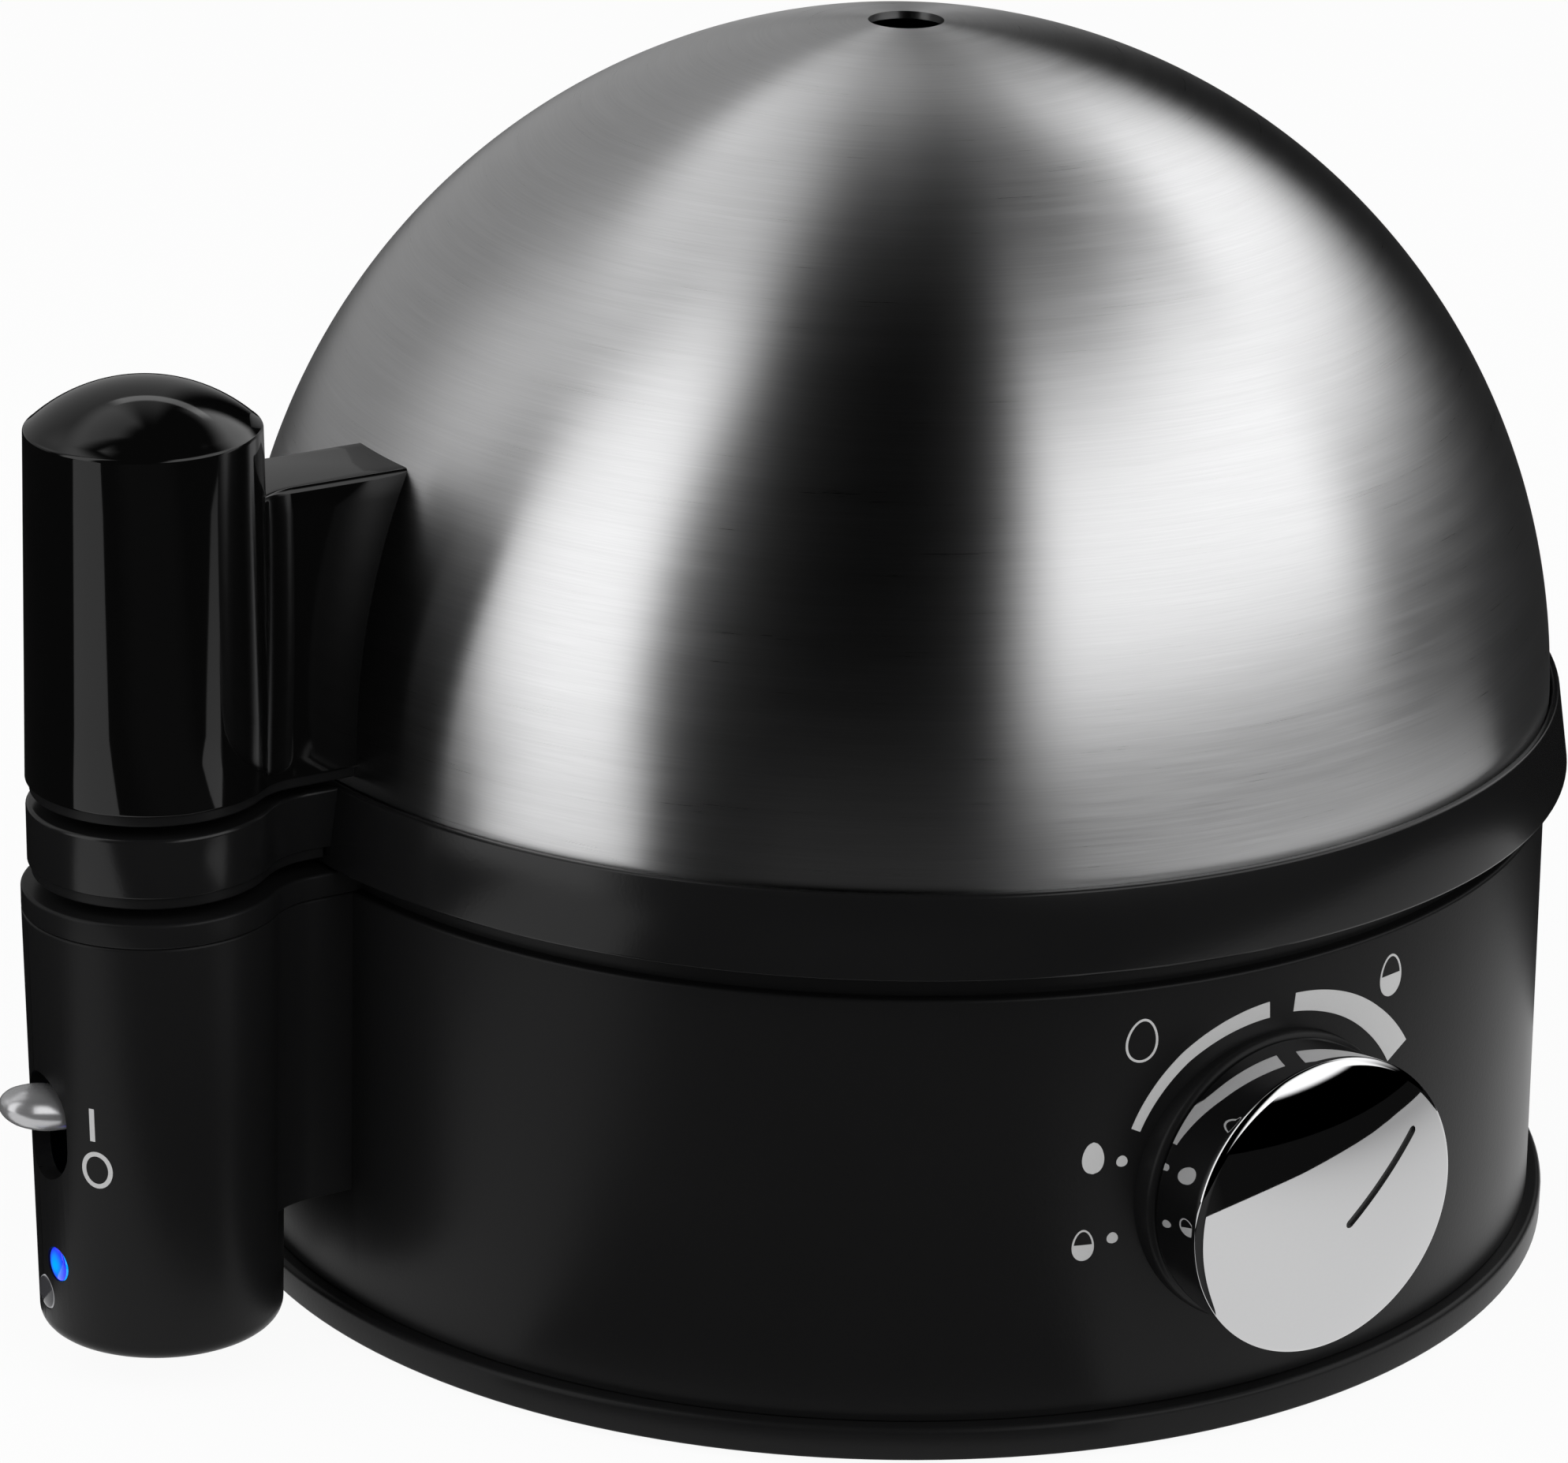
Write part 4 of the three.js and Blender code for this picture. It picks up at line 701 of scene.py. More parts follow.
class Effects:
    """The surface effects that several finishes share."""

    def __init__(self) -> None:
        """Builds the groups."""
        self.grain = self._grain()
        self.spun = self._spun()

    def _end(self, hand: NodeTree, tone: bpy.types.NodeSocket, cloud: bpy.types.NodeSocket,
             height: bpy.types.NodeSocket) -> bpy.types.NodeTree:
        """Ends a group.

        Args:
            hand: the group.
            tone: the scale of its colour.
            cloud: how much of its roughness spread is added.
            height: its height.

        Returns:
            The group's tree.
        """
        inside, outside = hand.inside(), hand.outside()
        gloss = hand.math("MULTIPLY_ADD", cloud, inside["Roughness spread"], inside["Roughness"])
        hand.link(hand.vector("SCALE", inside["Colour"], tone), outside["Colour"])
        hand.link(gloss, outside["Roughness"])
        hand.link(height, outside["Height"])
        return hand.tree

    def _grain(self) -> bpy.types.NodeTree:
        """The fine grain of a moulded or cast skin, with faint clouding of its colour and gloss."""
        hand = effect_group("moulded grain", {
            "Colour": ("NodeSocketColor", (0.02, 0.02, 0.02, 1.0)), "Colour spread": ("NodeSocketFloat", 0.1),
            "Roughness": ("NodeSocketFloat", 0.5), "Roughness spread": ("NodeSocketFloat", 0.05),
            "Grain size": ("NodeSocketFloat", 0.0004),
        })
        inside = hand.inside()
        spread = inside["Colour spread"]
        fine = hand.noise(inside["Vector"], hand.math("DIVIDE", 1.0, inside["Grain size"]), 2.0, 0.6)
        broad = hand.noise(inside["Vector"], 38.0, 4.0, 0.55)
        cloud = hand.math("SUBTRACT", broad, 0.5)
        tone = hand.math("MULTIPLY_ADD", cloud, spread, 1.0)
        speck = hand.math("MULTIPLY_ADD", hand.math("SUBTRACT", fine, 0.5), spread, tone)
        return self._end(hand, speck, cloud, fine)

    def _spun(self) -> bpy.types.NodeTree:
        """Fine brushed streaks that run round a standing axis, as on spun and polished metal."""
        hand = effect_group("spun brushing", {
            "Spring height": ("NodeSocketFloat", SPRING * MM), "Streak pitch": ("NodeSocketFloat", 0.00025),
            "Streak length": ("NodeSocketFloat", 0.03), "Colour": ("NodeSocketColor", (0.6, 0.6, 0.6, 1.0)),
            "Colour spread": ("NodeSocketFloat", 0.1), "Roughness": ("NodeSocketFloat", 0.3),
            "Roughness spread": ("NodeSocketFloat", 0.1),
        })
        inside = hand.inside()
        x, y, z = hand.add("ShaderNodeSeparateXYZ", {"Vector": inside["Vector"]}).outputs
        level = hand.math("SUBTRACT", z, inside["Spring height"])
        flat = hand.math("SQRT", hand.math("ADD", hand.math("MULTIPLY", x, x), hand.math("MULTIPLY", y, y)))
        reach = hand.math("SQRT", hand.math("ADD", hand.math("MULTIPLY", flat, flat),
                                            hand.math("MULTIPLY", level, level)))
        meridian = hand.math("MULTIPLY", hand.math("ARCTAN2", level, flat), reach)
        noises = []
        for share_along, share_across, detail, roughness in ((1.0, 1.0, 3.0, 0.65), (0.6, 0.12, 2.0, 0.5)):
            along = hand.math("DIVIDE", share_along, inside["Streak length"])
            across = hand.math("DIVIDE", share_across, inside["Streak pitch"])
            streaks = hand.combined(X=hand.math("MULTIPLY", x, along), Y=hand.math("MULTIPLY", y, along),
                                    Z=hand.math("MULTIPLY", meridian, across))
            noises.append(hand.noise(streaks, 1.0, detail, roughness))
        fine, coarse = noises
        coarse_share = 0.35
        mixed = hand.math("MULTIPLY_ADD", coarse, coarse_share, hand.math("MULTIPLY", fine, 1.0 - coarse_share))
        mixed = hand.math("SUBTRACT", mixed, 0.5)
        return self._end(hand, hand.math("MULTIPLY_ADD", mixed, inside["Colour spread"], 1.0), mixed, fine)


@dataclass(frozen=True)
class Finish:
    """What every kind of finish has."""

    name: str
    colour: Colour

    def material(self, effects: Effects) -> bpy.types.Material:
        """Builds the material.

        Args:
            effects: the shared effects.

        Returns:
            The material.
        """
        made, hand = blank_material(self.name)
        hand.surface(self.skin(hand, effects))
        return made

    def skin(self, hand: NodeTree, effects: Effects) -> bpy.types.Node:
        """The shader, which each kind of finish builds in its own way."""
        raise NotImplementedError


@dataclass(frozen=True)
class MouldedFinish(Finish):
    """A moulded, cast or painted skin with a fine grain."""

    roughness: float
    colour_spread: float = 0.15
    roughness_spread: float = 0.08
    grain_size: float = 0.0004
    grain_depth: float = 0.00001
    metallic: float = 0.0
    specular: float = 0.5
    coat: float = 0.0
    coat_roughness: float = 0.1

    def skin(self, hand: NodeTree, effects: Effects) -> bpy.types.Node:
        """A shader whose colour, gloss and relief come from the grain."""
        grain = hand.add("ShaderNodeGroup", {
            "Vector": hand.place(), "Colour": (*self.colour, 1.0), "Colour spread": self.colour_spread,
            "Roughness": self.roughness, "Roughness spread": self.roughness_spread, "Grain size": self.grain_size,
        }, node_tree=effects.grain).outputs
        bump = hand.add("ShaderNodeBump", {"Height": grain["Height"], "Distance": self.grain_depth,
                                           "Strength": 0.6})
        return hand.add("ShaderNodeBsdfPrincipled", {
            "Base Color": grain["Colour"], "Roughness": grain["Roughness"], "Normal": bump.outputs[0],
            "Metallic": self.metallic, "Specular IOR Level": self.specular, "Coat Weight": self.coat,
            "Coat Roughness": self.coat_roughness})


@dataclass(frozen=True)
class SpunFinish(Finish):
    """Metal that was brushed or spun round the drum's axis, with highlights drawn out across the streaks."""

    roughness: float
    roughness_spread: float
    colour_spread: float
    anisotropy: float
    streak_pitch: float = 0.00025
    streak_length: float = 0.03
    streak_depth: float = 0.000002

    def skin(self, hand: NodeTree, effects: Effects) -> bpy.types.Node:
        """A shader whose colour and gloss come from the streaks."""
        centred = hand.add("ShaderNodeMapping", {"Vector": hand.place(), "Location": (-AXIS.x, -AXIS.y, 0.0)})
        spun = hand.add("ShaderNodeGroup", {
            "Vector": centred.outputs[0], "Colour": (*self.colour, 1.0), "Colour spread": self.colour_spread,
            "Roughness": self.roughness, "Roughness spread": self.roughness_spread,
            "Streak pitch": self.streak_pitch, "Streak length": self.streak_length,
        }, node_tree=effects.spun).outputs
        skin = hand.add("ShaderNodeBsdfPrincipled", {
            "Base Color": spun["Colour"], "Roughness": spun["Roughness"], "Metallic": 1.0,
            "Anisotropic": self.anisotropy})
        if self.streak_depth:
            bump = hand.add("ShaderNodeBump", {"Height": spun["Height"], "Distance": self.streak_depth,
                                               "Strength": 0.5})
            hand.link(bump.outputs[0], skin.inputs["Normal"])
        if self.anisotropy:
            tangent = hand.add("ShaderNodeTangent", direction_type="UV_MAP", uv_map="surface")
            hand.link(tangent.outputs[0], skin.inputs["Tangent"])
        return skin


@dataclass(frozen=True)
class LensFinish(Finish):
    """A clear or tinted moulded lens over a lamp. The tinted lens glows with its lit lamp; the clear lens is unlit,
    and the glow at its rim is a painted highlight ring.
    """

    rim_colour: Colour
    glow_colour: Colour
    glow: float
    rim_share: float = 0.2
    transmission: float = 0.6

    def skin(self, hand: NodeTree, effects: Effects) -> bpy.types.Node:
        """A shader that glows in one colour at its rim and in another inside it. On the unlit clear lens the rim's
        glow is a painted highlight.
        """
        surface = hand.add("ShaderNodeUVMap", uv_map="surface").outputs[0]
        along = hand.add("ShaderNodeSeparateXYZ", {"Vector": surface}).outputs[0]
        tint = hand.add("ShaderNodeMix", {
            "0": hand.ramp(along, 0.0, self.rim_share), "6": (*self.rim_colour, 1.0),
            "7": (*self.glow_colour, 1.0)}, data_type="RGBA")
        grain = hand.add("ShaderNodeGroup", {
            "Vector": hand.place(), "Colour": tint.outputs[2], "Colour spread": 0.6, "Roughness": 0.08,
            "Grain size": 0.0012}, node_tree=effects.grain).outputs
        return hand.add("ShaderNodeBsdfPrincipled", {
            "Base Color": (*self.colour, 1.0), "Roughness": grain["Roughness"], "IOR": 1.49, "Metallic": 0.0,
            "Transmission Weight": self.transmission, "Emission Color": grain["Colour"],
            "Emission Strength": self.glow})


class Palette:
    """Every finish of the boiler, one for each material slot, and the print's ink."""

    FINISHES: dict[Slot, Finish] = {
        Slot.MATTE_BLACK: MouldedFinish("matte black plastic", (0.0075, 0.0075, 0.0077), 0.34,
                                        grain_size=0.0005, grain_depth=0.00002, specular=0.13),
        Slot.GLOSS_BLACK: MouldedFinish("gloss black plastic", (0.0025, 0.0025, 0.0025), 0.06, specular=0.36,
                                        roughness_spread=0.03, grain_depth=0.000001, grain_size=0.002),
        Slot.STEEL: SpunFinish("brushed stainless steel", (0.57, 0.57, 0.575), 0.29, 0.1, 0.4, 0.9,
                               0.00022, 0.016, 0.0),
        Slot.CHROME: MouldedFinish("chromed shell", (0.56, 0.56, 0.565), 0.02, colour_spread=0.02,
                                   roughness_spread=0.01, grain_depth=0.0, metallic=1.0),
        Slot.SILVER: MouldedFinish("satin silver lacquer", (0.5, 0.5, 0.51), 0.27, colour_spread=0.1,
                                   metallic=0.7, grain_size=0.0002, grain_depth=0.000005),
        Slot.ALUMINIUM: SpunFinish("turned aluminium", (0.66, 0.67, 0.68), 0.4, 0.15, 0.1, 0.0, 0.0005, 0.02),
        Slot.ZINC: MouldedFinish("zinc plated steel", (0.56, 0.57, 0.58), 0.35, colour_spread=0.3,
                                 roughness_spread=0.2, metallic=1.0, grain_size=0.0012),
        Slot.SHEATH: MouldedFinish("element sheath", (0.16, 0.155, 0.15), 0.5, colour_spread=0.6,
                                   roughness_spread=0.25, metallic=0.9, grain_size=0.0009),
        Slot.CERAMIC: MouldedFinish("unglazed ceramic", (0.78, 0.74, 0.66), 0.65, colour_spread=0.12),
        Slot.SILICONE: MouldedFinish("silicone rubber", (0.32, 0.05, 0.03), 0.55, colour_spread=0.12),
        Slot.RUBBER: MouldedFinish("black rubber", (0.018, 0.018, 0.018), 0.75, colour_spread=0.25,
                                   grain_size=0.0008, grain_depth=0.00004),
        Slot.BOARD: MouldedFinish("board laminate", (0.02, 0.13, 0.05), 0.4, colour_spread=0.35,
                                  grain_size=0.0006, coat=0.3),
        Slot.WHITE: MouldedFinish("white plastic", (0.72, 0.72, 0.69), 0.45, colour_spread=0.06),
        Slot.BLUE_LENS: LensFinish("blue lens", (0.0, 0.02, 0.3), (0.02, 0.0, 0.5), (0.0, 0.38, 1.0), 1.0,
                                   transmission=0.3),
        # The clear lens is unlit: the glow of its pale rim is a painted highlight ring.
        Slot.CLEAR_LENS: LensFinish("clear lens", (0.05, 0.05, 0.055), (0.6, 0.6, 0.62), (0.01, 0.01, 0.011),
                                    0.8, 0.03, 0.3),
    }
    INK = MouldedFinish("light grey ink", (0.55, 0.55, 0.55), 0.5, colour_spread=0.05, grain_size=0.0003)
    SATIN = MouldedFinish("satin black plastic", (0.007, 0.007, 0.0072), 0.2, grain_size=0.0005,
                          grain_depth=0.00001, specular=0.3)
    MARKER = MouldedFinish("dark marker groove fill", (0.006, 0.006, 0.006), 0.4)
    # Darker than the dome's steel: painted shade that dims the tray's reflection of the white surround.
    TRAY = SpunFinish("darkened tray steel", (0.36, 0.36, 0.365), 0.34, 0.15, 0.3, 0.4, 0.0004, 0.05)

    def __init__(self) -> None:
        """Builds the shared effects and every material."""
        effects = Effects()
        self.by_slot = {slot: finish.material(effects) for slot, finish in self.FINISHES.items()}
        self.ink = self.INK.material(effects)
        self.marker = self.MARKER.material(effects)
        self.satin = self.SATIN.material(effects)
        self.tray = self.TRAY.material(effects)


# --- Putting pieces in the scene ---


@dataclass
class Bench:
    """Where meshes become finished pieces."""

    palette: Palette
    repeats: Repeats

    def piece(self, name: str, shape: Form | bpy.types.Mesh, slot: Slot, body: Body,
              replaced: Sequence[str] = (), crease: float = 32.0,
              material: bpy.types.Material | None = None) -> bpy.types.Object:
        """Sets a shape in place as a finished piece that rides on a body.

        Args:
            name: the piece's name.
            shape: a form, or a mesh in millimetres about the drum's axis.
            slot: the material slot that it takes its finish from.
            body: the body that it rides on.
            replaced: CAD nodes that it stands for.
            crease: the angle in degrees above which an edge stays sharp.
            material: its material, where it isn't the slot's own.

        Returns:
            The piece.
        """
        mesh = shape.mesh(name) if isinstance(shape, Form) else shape
        mesh.name = name
        mesh.transform(Matrix.Translation(AXIS) @ Matrix.Scale(MM, 4))
        mesh.materials.clear()
        mesh.materials.append(material or self.palette.by_slot[slot])
        for polygon in mesh.polygons:
            polygon.material_index = 0
        if not mesh.has_custom_normals:
            mesh.shade_smooth()
            mesh.set_sharp_from_angle(angle=math.radians(crease))
        made = loose_object(name, mesh)
        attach(made, body.value)
        if replaced:
            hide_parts(*replaced)
        log.info("%s: %d faces, rides on %s", name, len(mesh.polygons), body.value)
        return made

    def ring_of(self, name: str, form: Form, count: int, pitch: float, first: float, height: float) -> bpy.types.Mesh:
        """Copies of a form round the drum's axis, as one mesh."""
        return grown(name, self.repeats.ring, form.mesh(name + "_one"), {
            "Count": count, "Pitch radius": pitch, "First angle": first, "Height": height})

    def row_of(self, name: str, form: Form, count: int, step: Point) -> bpy.types.Mesh:
        """Copies of a form in a row, as one mesh."""
        return grown(name, self.repeats.row, form.mesh(name + "_one"), {"Count": count, "Step": step})


def pan_screw(shank: float, head: float, head_height: float, length: float, slot_width: float = 0.8,
              slot_depth: float = 0.6) -> Form:
    """A slotted pan-head screw along +Z, its head below zero.

    Args:
        shank: shank radius.
        head: head radius.
        head_height: height of the head.
        length: length of the shank.
        slot_width: width of the drive slot.
        slot_depth: depth of the drive slot.

    Returns:
        The form.
    """
    dome = [(head * math.sin(t * math.pi / 12), -head_height * math.cos(t * math.pi / 12)) for t in range(7)]
    body = revolved([*dome, (shank, 0.0), (shank, length), (0.0, length)], 32)
    slot = block((head * 3, slot_width, slot_depth * 2), (0.0, 0.0, -head_height))
    mesh = carved("screw", body, cuts=[slot])
    return Form([tuple(v.co) for v in mesh.vertices], [tuple(p.vertices) for p in mesh.polygons])


# --- The base ---


@dataclass
class HeatedBase:
    """The drum with its foot flange, tower and top cover, and what is set in them."""

    bench: Bench
    plate_bottom: float = 1.0
    flange_top: float = 5.35
    flange_radius: float = 90.0
    foot_radius: float = 88.0
    top_radius: float = 87.2
    wall: float = 2.5
    tower_wall: float = 2.2
    tower_radius: float = 16.4
    tower_foot_radius: float = 15.5
    tower_bottom: float = 4.9
    tower_edge: float = 2.2
    neck_bottom: float = 20.5
    gland_height: float = 14.85
    knob_hole: float = 8.3
    gland_hole: float = 5.7
    lens_hole: float = 2.3
    lens_radius: float = 2.2
    corner: float = math.pi / 4

    def drum_radius(self, height: float) -> float:
        """Outer radius of the tapered drum at a height."""
        share = (height - self.flange_top) / (HOUSING_TOP - self.flange_top)
        return self.foot_radius + (self.top_radius - self.foot_radius) * share

    def tower_radius_at(self, height: float) -> float:
        """Outer radius of the tapered tower at a height."""
        foot = self.tower_bottom + self.tower_edge
        share = max(0.0, (height - foot) / (HOUSING_TOP - foot))
        return self.tower_foot_radius + (self.tower_radius - self.tower_foot_radius) * share

    def build(self) -> None:
        """Builds every piece of the base in order."""
        self.housing()
        self.foot_plate()
        self.top_cover()
        self.bowl_and_seal()
        self.collar()
        self.gland()
        self.lenses()
        self.feet_and_screws()
        DialPrint(self).build()
        SwitchPrint(self).build()

    def housing(self) -> None:
        """The drum's wall with the neck and the closed tower, and the openings in them."""
        top, foot, rounding = HOUSING_TOP, self.flange_top, 0.4
        drum = revolved(soften([
            (self.foot_radius - self.wall, foot, 0), (self.foot_radius, foot, 0.3),
            (self.top_radius, top, 0.5), (self.top_radius - self.wall, top, 0)]), FINE)
        edge = arc((self.tower_foot_radius - self.tower_edge, self.tower_bottom + self.tower_edge), self.tower_edge,
                   -math.pi / 2, 0.0, 8)
        brim = arc((self.tower_radius - rounding, top - rounding), rounding, 0.0, math.pi / 2, 4)
        tower = revolved([(0.0, self.tower_bottom), *edge, *brim, (0.0, top)], MEDIUM, TOWER)
        plan = NeckPlan(sunk=0.5, bite=0.06)
        neck = rounded_stack(lambda inset, z: plan.outline(inset, self.tower_radius_at(z)), self.neck_bottom,
                             top, rounding, rounding, 4)
        ground = self.tower_bottom + self.tower_wall
        hollow = revolved([(0.0, ground), (self.tower_foot_radius - self.tower_wall, ground),
                           (self.tower_radius - self.tower_wall, top + 3), (0.0, top + 3)], MEDIUM, TOWER)
        slot = stacked([(slot_outline(14.3, 10.2), z) for z in (100.0, 135.0)])
        cuts = [hollow, slot.facing_tower(0.0, LEVER_HEIGHT),
                rod(self.knob_hole, 75.0, 100.0, MEDIUM).facing_front(KNOB_HEIGHT),
                rod(self.gland_hole, 75.0, 100.0, MEDIUM).facing_back(self.gland_height),
                *(rod(self.lens_hole, 112.0, 140.0, 40).facing_tower(y, z) for y, z in LENS_PLACES),
                self.parting_groove()]
        mesh = carved("base_shell", drum, [tower, neck], cuts)
        self.bench.piece("base_shell", mesh, Slot.MATTE_BLACK, Body.BASE, ["base_housing"])

    def parting_groove(self) -> Form:
        """The fine line that the mould leaves on the tower below the switch slot."""
        azimuth = math.radians(172.0)
        reach = self.tower_foot_radius + 0.5
        outline = [turned(reach + x, y, azimuth, TOWER)
                   for x, y in ((-0.7, -0.07), (0.7, -0.07), (0.7, 0.07), (-0.7, 0.07))]
        return stacked([(outline, self.tower_bottom + 1.0), (outline, HOUSING_TOP - 1.0)])

    def foot_plate(self) -> None:
        """The base plate whose rim shows as a flange round the drum's foot."""
        b, t = self.plate_bottom, self.flange_top
        disc = revolved(soften([(0, b, 0), (self.flange_radius, b, 0.4), (self.flange_radius, t, 0.8),
                                (76.0, t, 0.3), (76.0, 3.4, 0.5), (0, 3.4, 0)]), FINE)
        pockets = self.bench.ring_of("pockets", rod(6.3, -4.0, 1.5), 4, FOOT_PITCH, self.corner, b)
        holes = self.bench.ring_of("screw_wells", rod(3.3, -4.0, 1.8), 4, PLATE_SCREW_PITCH, self.corner, b)
        vent = stacked([(slot_outline(20.0, 2.5), z) for z in (-4.0, 6.0)])
        vents = self.bench.row_of("vents", vent, 5, (0.0, 6.0, 0.0))
        mesh = carved("foot_flange", disc, cuts=[pockets, holes, vents])
        self.bench.piece("foot_flange", mesh, Slot.MATTE_BLACK, Body.BASE, ["base_plate"])

    def top_cover(self) -> None:
        """The collar that the carrier stands on, with the cap over neck and tower."""
        ring = revolved(soften([
            (76.5, HOUSING_TOP, 0), (85.6, HOUSING_TOP, 0), (85.6, RING_TOP, 0.6), (81.0, RING_TOP, 0.4),
            (81.0, CAP_TOP, 0.3), (76.5, CAP_TOP, 0.3)], 4), FINE)
        plan = NeckPlan(inner_end=83.0)
        cap = rounded_stack(lambda inset, z: plan.outline(inset), HOUSING_TOP, CAP_TOP, 0.3, 0.45)
        mesh = carved("cover_and_cap", ring, [cap])
        self.bench.piece("cover_and_cap", mesh, Slot.MATTE_BLACK, Body.BASE, ["top_cover"])

    def bowl_and_seal(self) -> None:
        """The pressed steel bowl that hangs by its rim, and the seal under the rim."""
        bowl = revolved(soften([
            (0, 44.5, 0), (76.0, 44.5, 9.0), (76.0, 65.5, 0.6), (80.7, 65.5, 0.45), (80.7, 66.5, 0.45),
            (75.0, 66.5, 1.4), (75.0, 45.5, 8.0), (0, 45.5, 0)], 8), FINE)
        self.bench.piece("boiling_bowl", bowl, Slot.STEEL, Body.BASE, ["water_bowl"])
        seal = revolved(soften([(77.5, CAP_TOP, 0.3), (80.7, CAP_TOP, 0.3), (80.7, 65.5, 0.3), (77.5, 65.5, 0.3)], 3),
                        MEDIUM)
        self.bench.piece("rim_seal", seal, Slot.SILICONE, Body.BASE, ["bowl_seal"])

    def collar(self) -> None:
        """The matte collar round the knob's foot, seated on the round wall."""
        ring = revolved(soften([(4.8, 82.0, 0), (19.1, 82.0, 0), (19.1, 88.9, 1.0), (8.0, 88.9, 0),
                                (4.8, 88.25, 0)], 8), MEDIUM).facing_front(KNOB_HEIGHT)
        wall = revolved([(0.0, 3.0), (self.drum_radius(3.0), 3.0), (self.drum_radius(63.0), 63.0), (0.0, 63.0)],
                        FINE)
        mesh = carved("knob_ring", ring, cuts=[wall])
        self.bench.piece("knob_ring", mesh, Slot.MATTE_BLACK, Body.BASE, ["knob_collar"])

    def gland(self) -> None:
        """The grommet in the back wall where the mains lead goes in."""
        face = self.drum_radius(self.gland_height) + 0.3
        ring = revolved(soften([
            (3.5, 82.0, 0.3), (7.0, 82.0, 0.3), (7.0, 84.5, 0), (5.4, 84.5, 0), (5.4, face, 0), (7.0, face, 0.3),
            (6.4, face + 1.8, 0.7), (3.5, face + 1.8, 0.5)], 4), SMALL)
        self.bench.piece("lead_grommet", ring.facing_back(self.gland_height), Slot.RUBBER, Body.BASE,
                         ["cord_gland"])

    def lenses(self) -> None:
        """The two lamp lenses, flush in the tower wall."""
        radius = self.lens_radius
        for (name, node, slot), (across, height) in zip((
                ("ready_light_lens", "ready_lens", Slot.BLUE_LENS),
                ("heat_light_lens", "heat_lens", Slot.CLEAR_LENS)), LENS_PLACES):
            face = TOWER_DISTANCE + math.sqrt(self.tower_foot_radius ** 2 - across ** 2)
            crown = [(radius * math.cos(t * math.pi / 16), face - 0.1 + 0.5 * math.sin(t * math.pi / 16))
                     for t in range(9)]
            lens = revolved([*crown, (0.0, face - 3.2), (radius, face - 3.2)], 40)
            self.bench.piece(name, lens.facing_tower(across, height), slot, Body.BASE, [node])

    def feet_and_screws(self) -> None:
        """The rubber feet and the screws of the base plate."""
        foot = revolved(soften([(0, 0, 0), (4.4, 0, 0.3), (4.7, 0.35, 0.2), (6.0, 0.5, 0.5), (6.0, 2.2, 0.1),
                                (0, 2.2, 0)], 3), SMALL)
        feet = self.bench.ring_of("rubber_feet", foot, 4, FOOT_PITCH, self.corner, 0.0)
        self.bench.piece("rubber_feet", feet, Slot.RUBBER, Body.BASE, [f"foot_{i}" for i in range(1, 5)])
        screws = self.bench.ring_of("plate_screws", pan_screw(1.5, 3.0, 1.5, 17.0), 4, PLATE_SCREW_PITCH,
                                    self.corner, 2.5)
        self.bench.piece("plate_screws", screws, Slot.ZINC, Body.BASE, [f"plate_screw_{i}" for i in range(1, 5)])


@dataclass
class WallPrint:
    """A print of thin inlays of ink on a round wall of the base."""

    base: HeatedBase
    proud: float = 0.05
    sunk: float = -0.08

    def place(self, along: float, height: float, offset: float) -> Point:
        """Sets an unrolled point of the print on its wall, which each print does in its own way."""
        raise NotImplementedError

    def inlay(self, pairs: Iterable[tuple[Flat, Flat]], closed: bool = False) -> Form:
        """A thin closed inlay between two lines on the wall.

        Args:
            pairs: matching points of the two lines, unrolled.
            closed: whether the last pair joins the first.

        Returns:
            The inlay.
        """
        return skinned([[self.place(*a, self.proud), self.place(*b, self.proud), self.place(*b, self.sunk),
                         self.place(*a, self.sunk)] for a, b in pairs], closed)

    def printed(self, name: str, parts: Sequence[Form]) -> None:
        """Sets the print's parts in place as one piece."""
        bench = self.base.bench
        bench.piece(name, reduce(Form.joined, parts), Slot.WHITE, Body.BASE, material=bench.palette.ink)


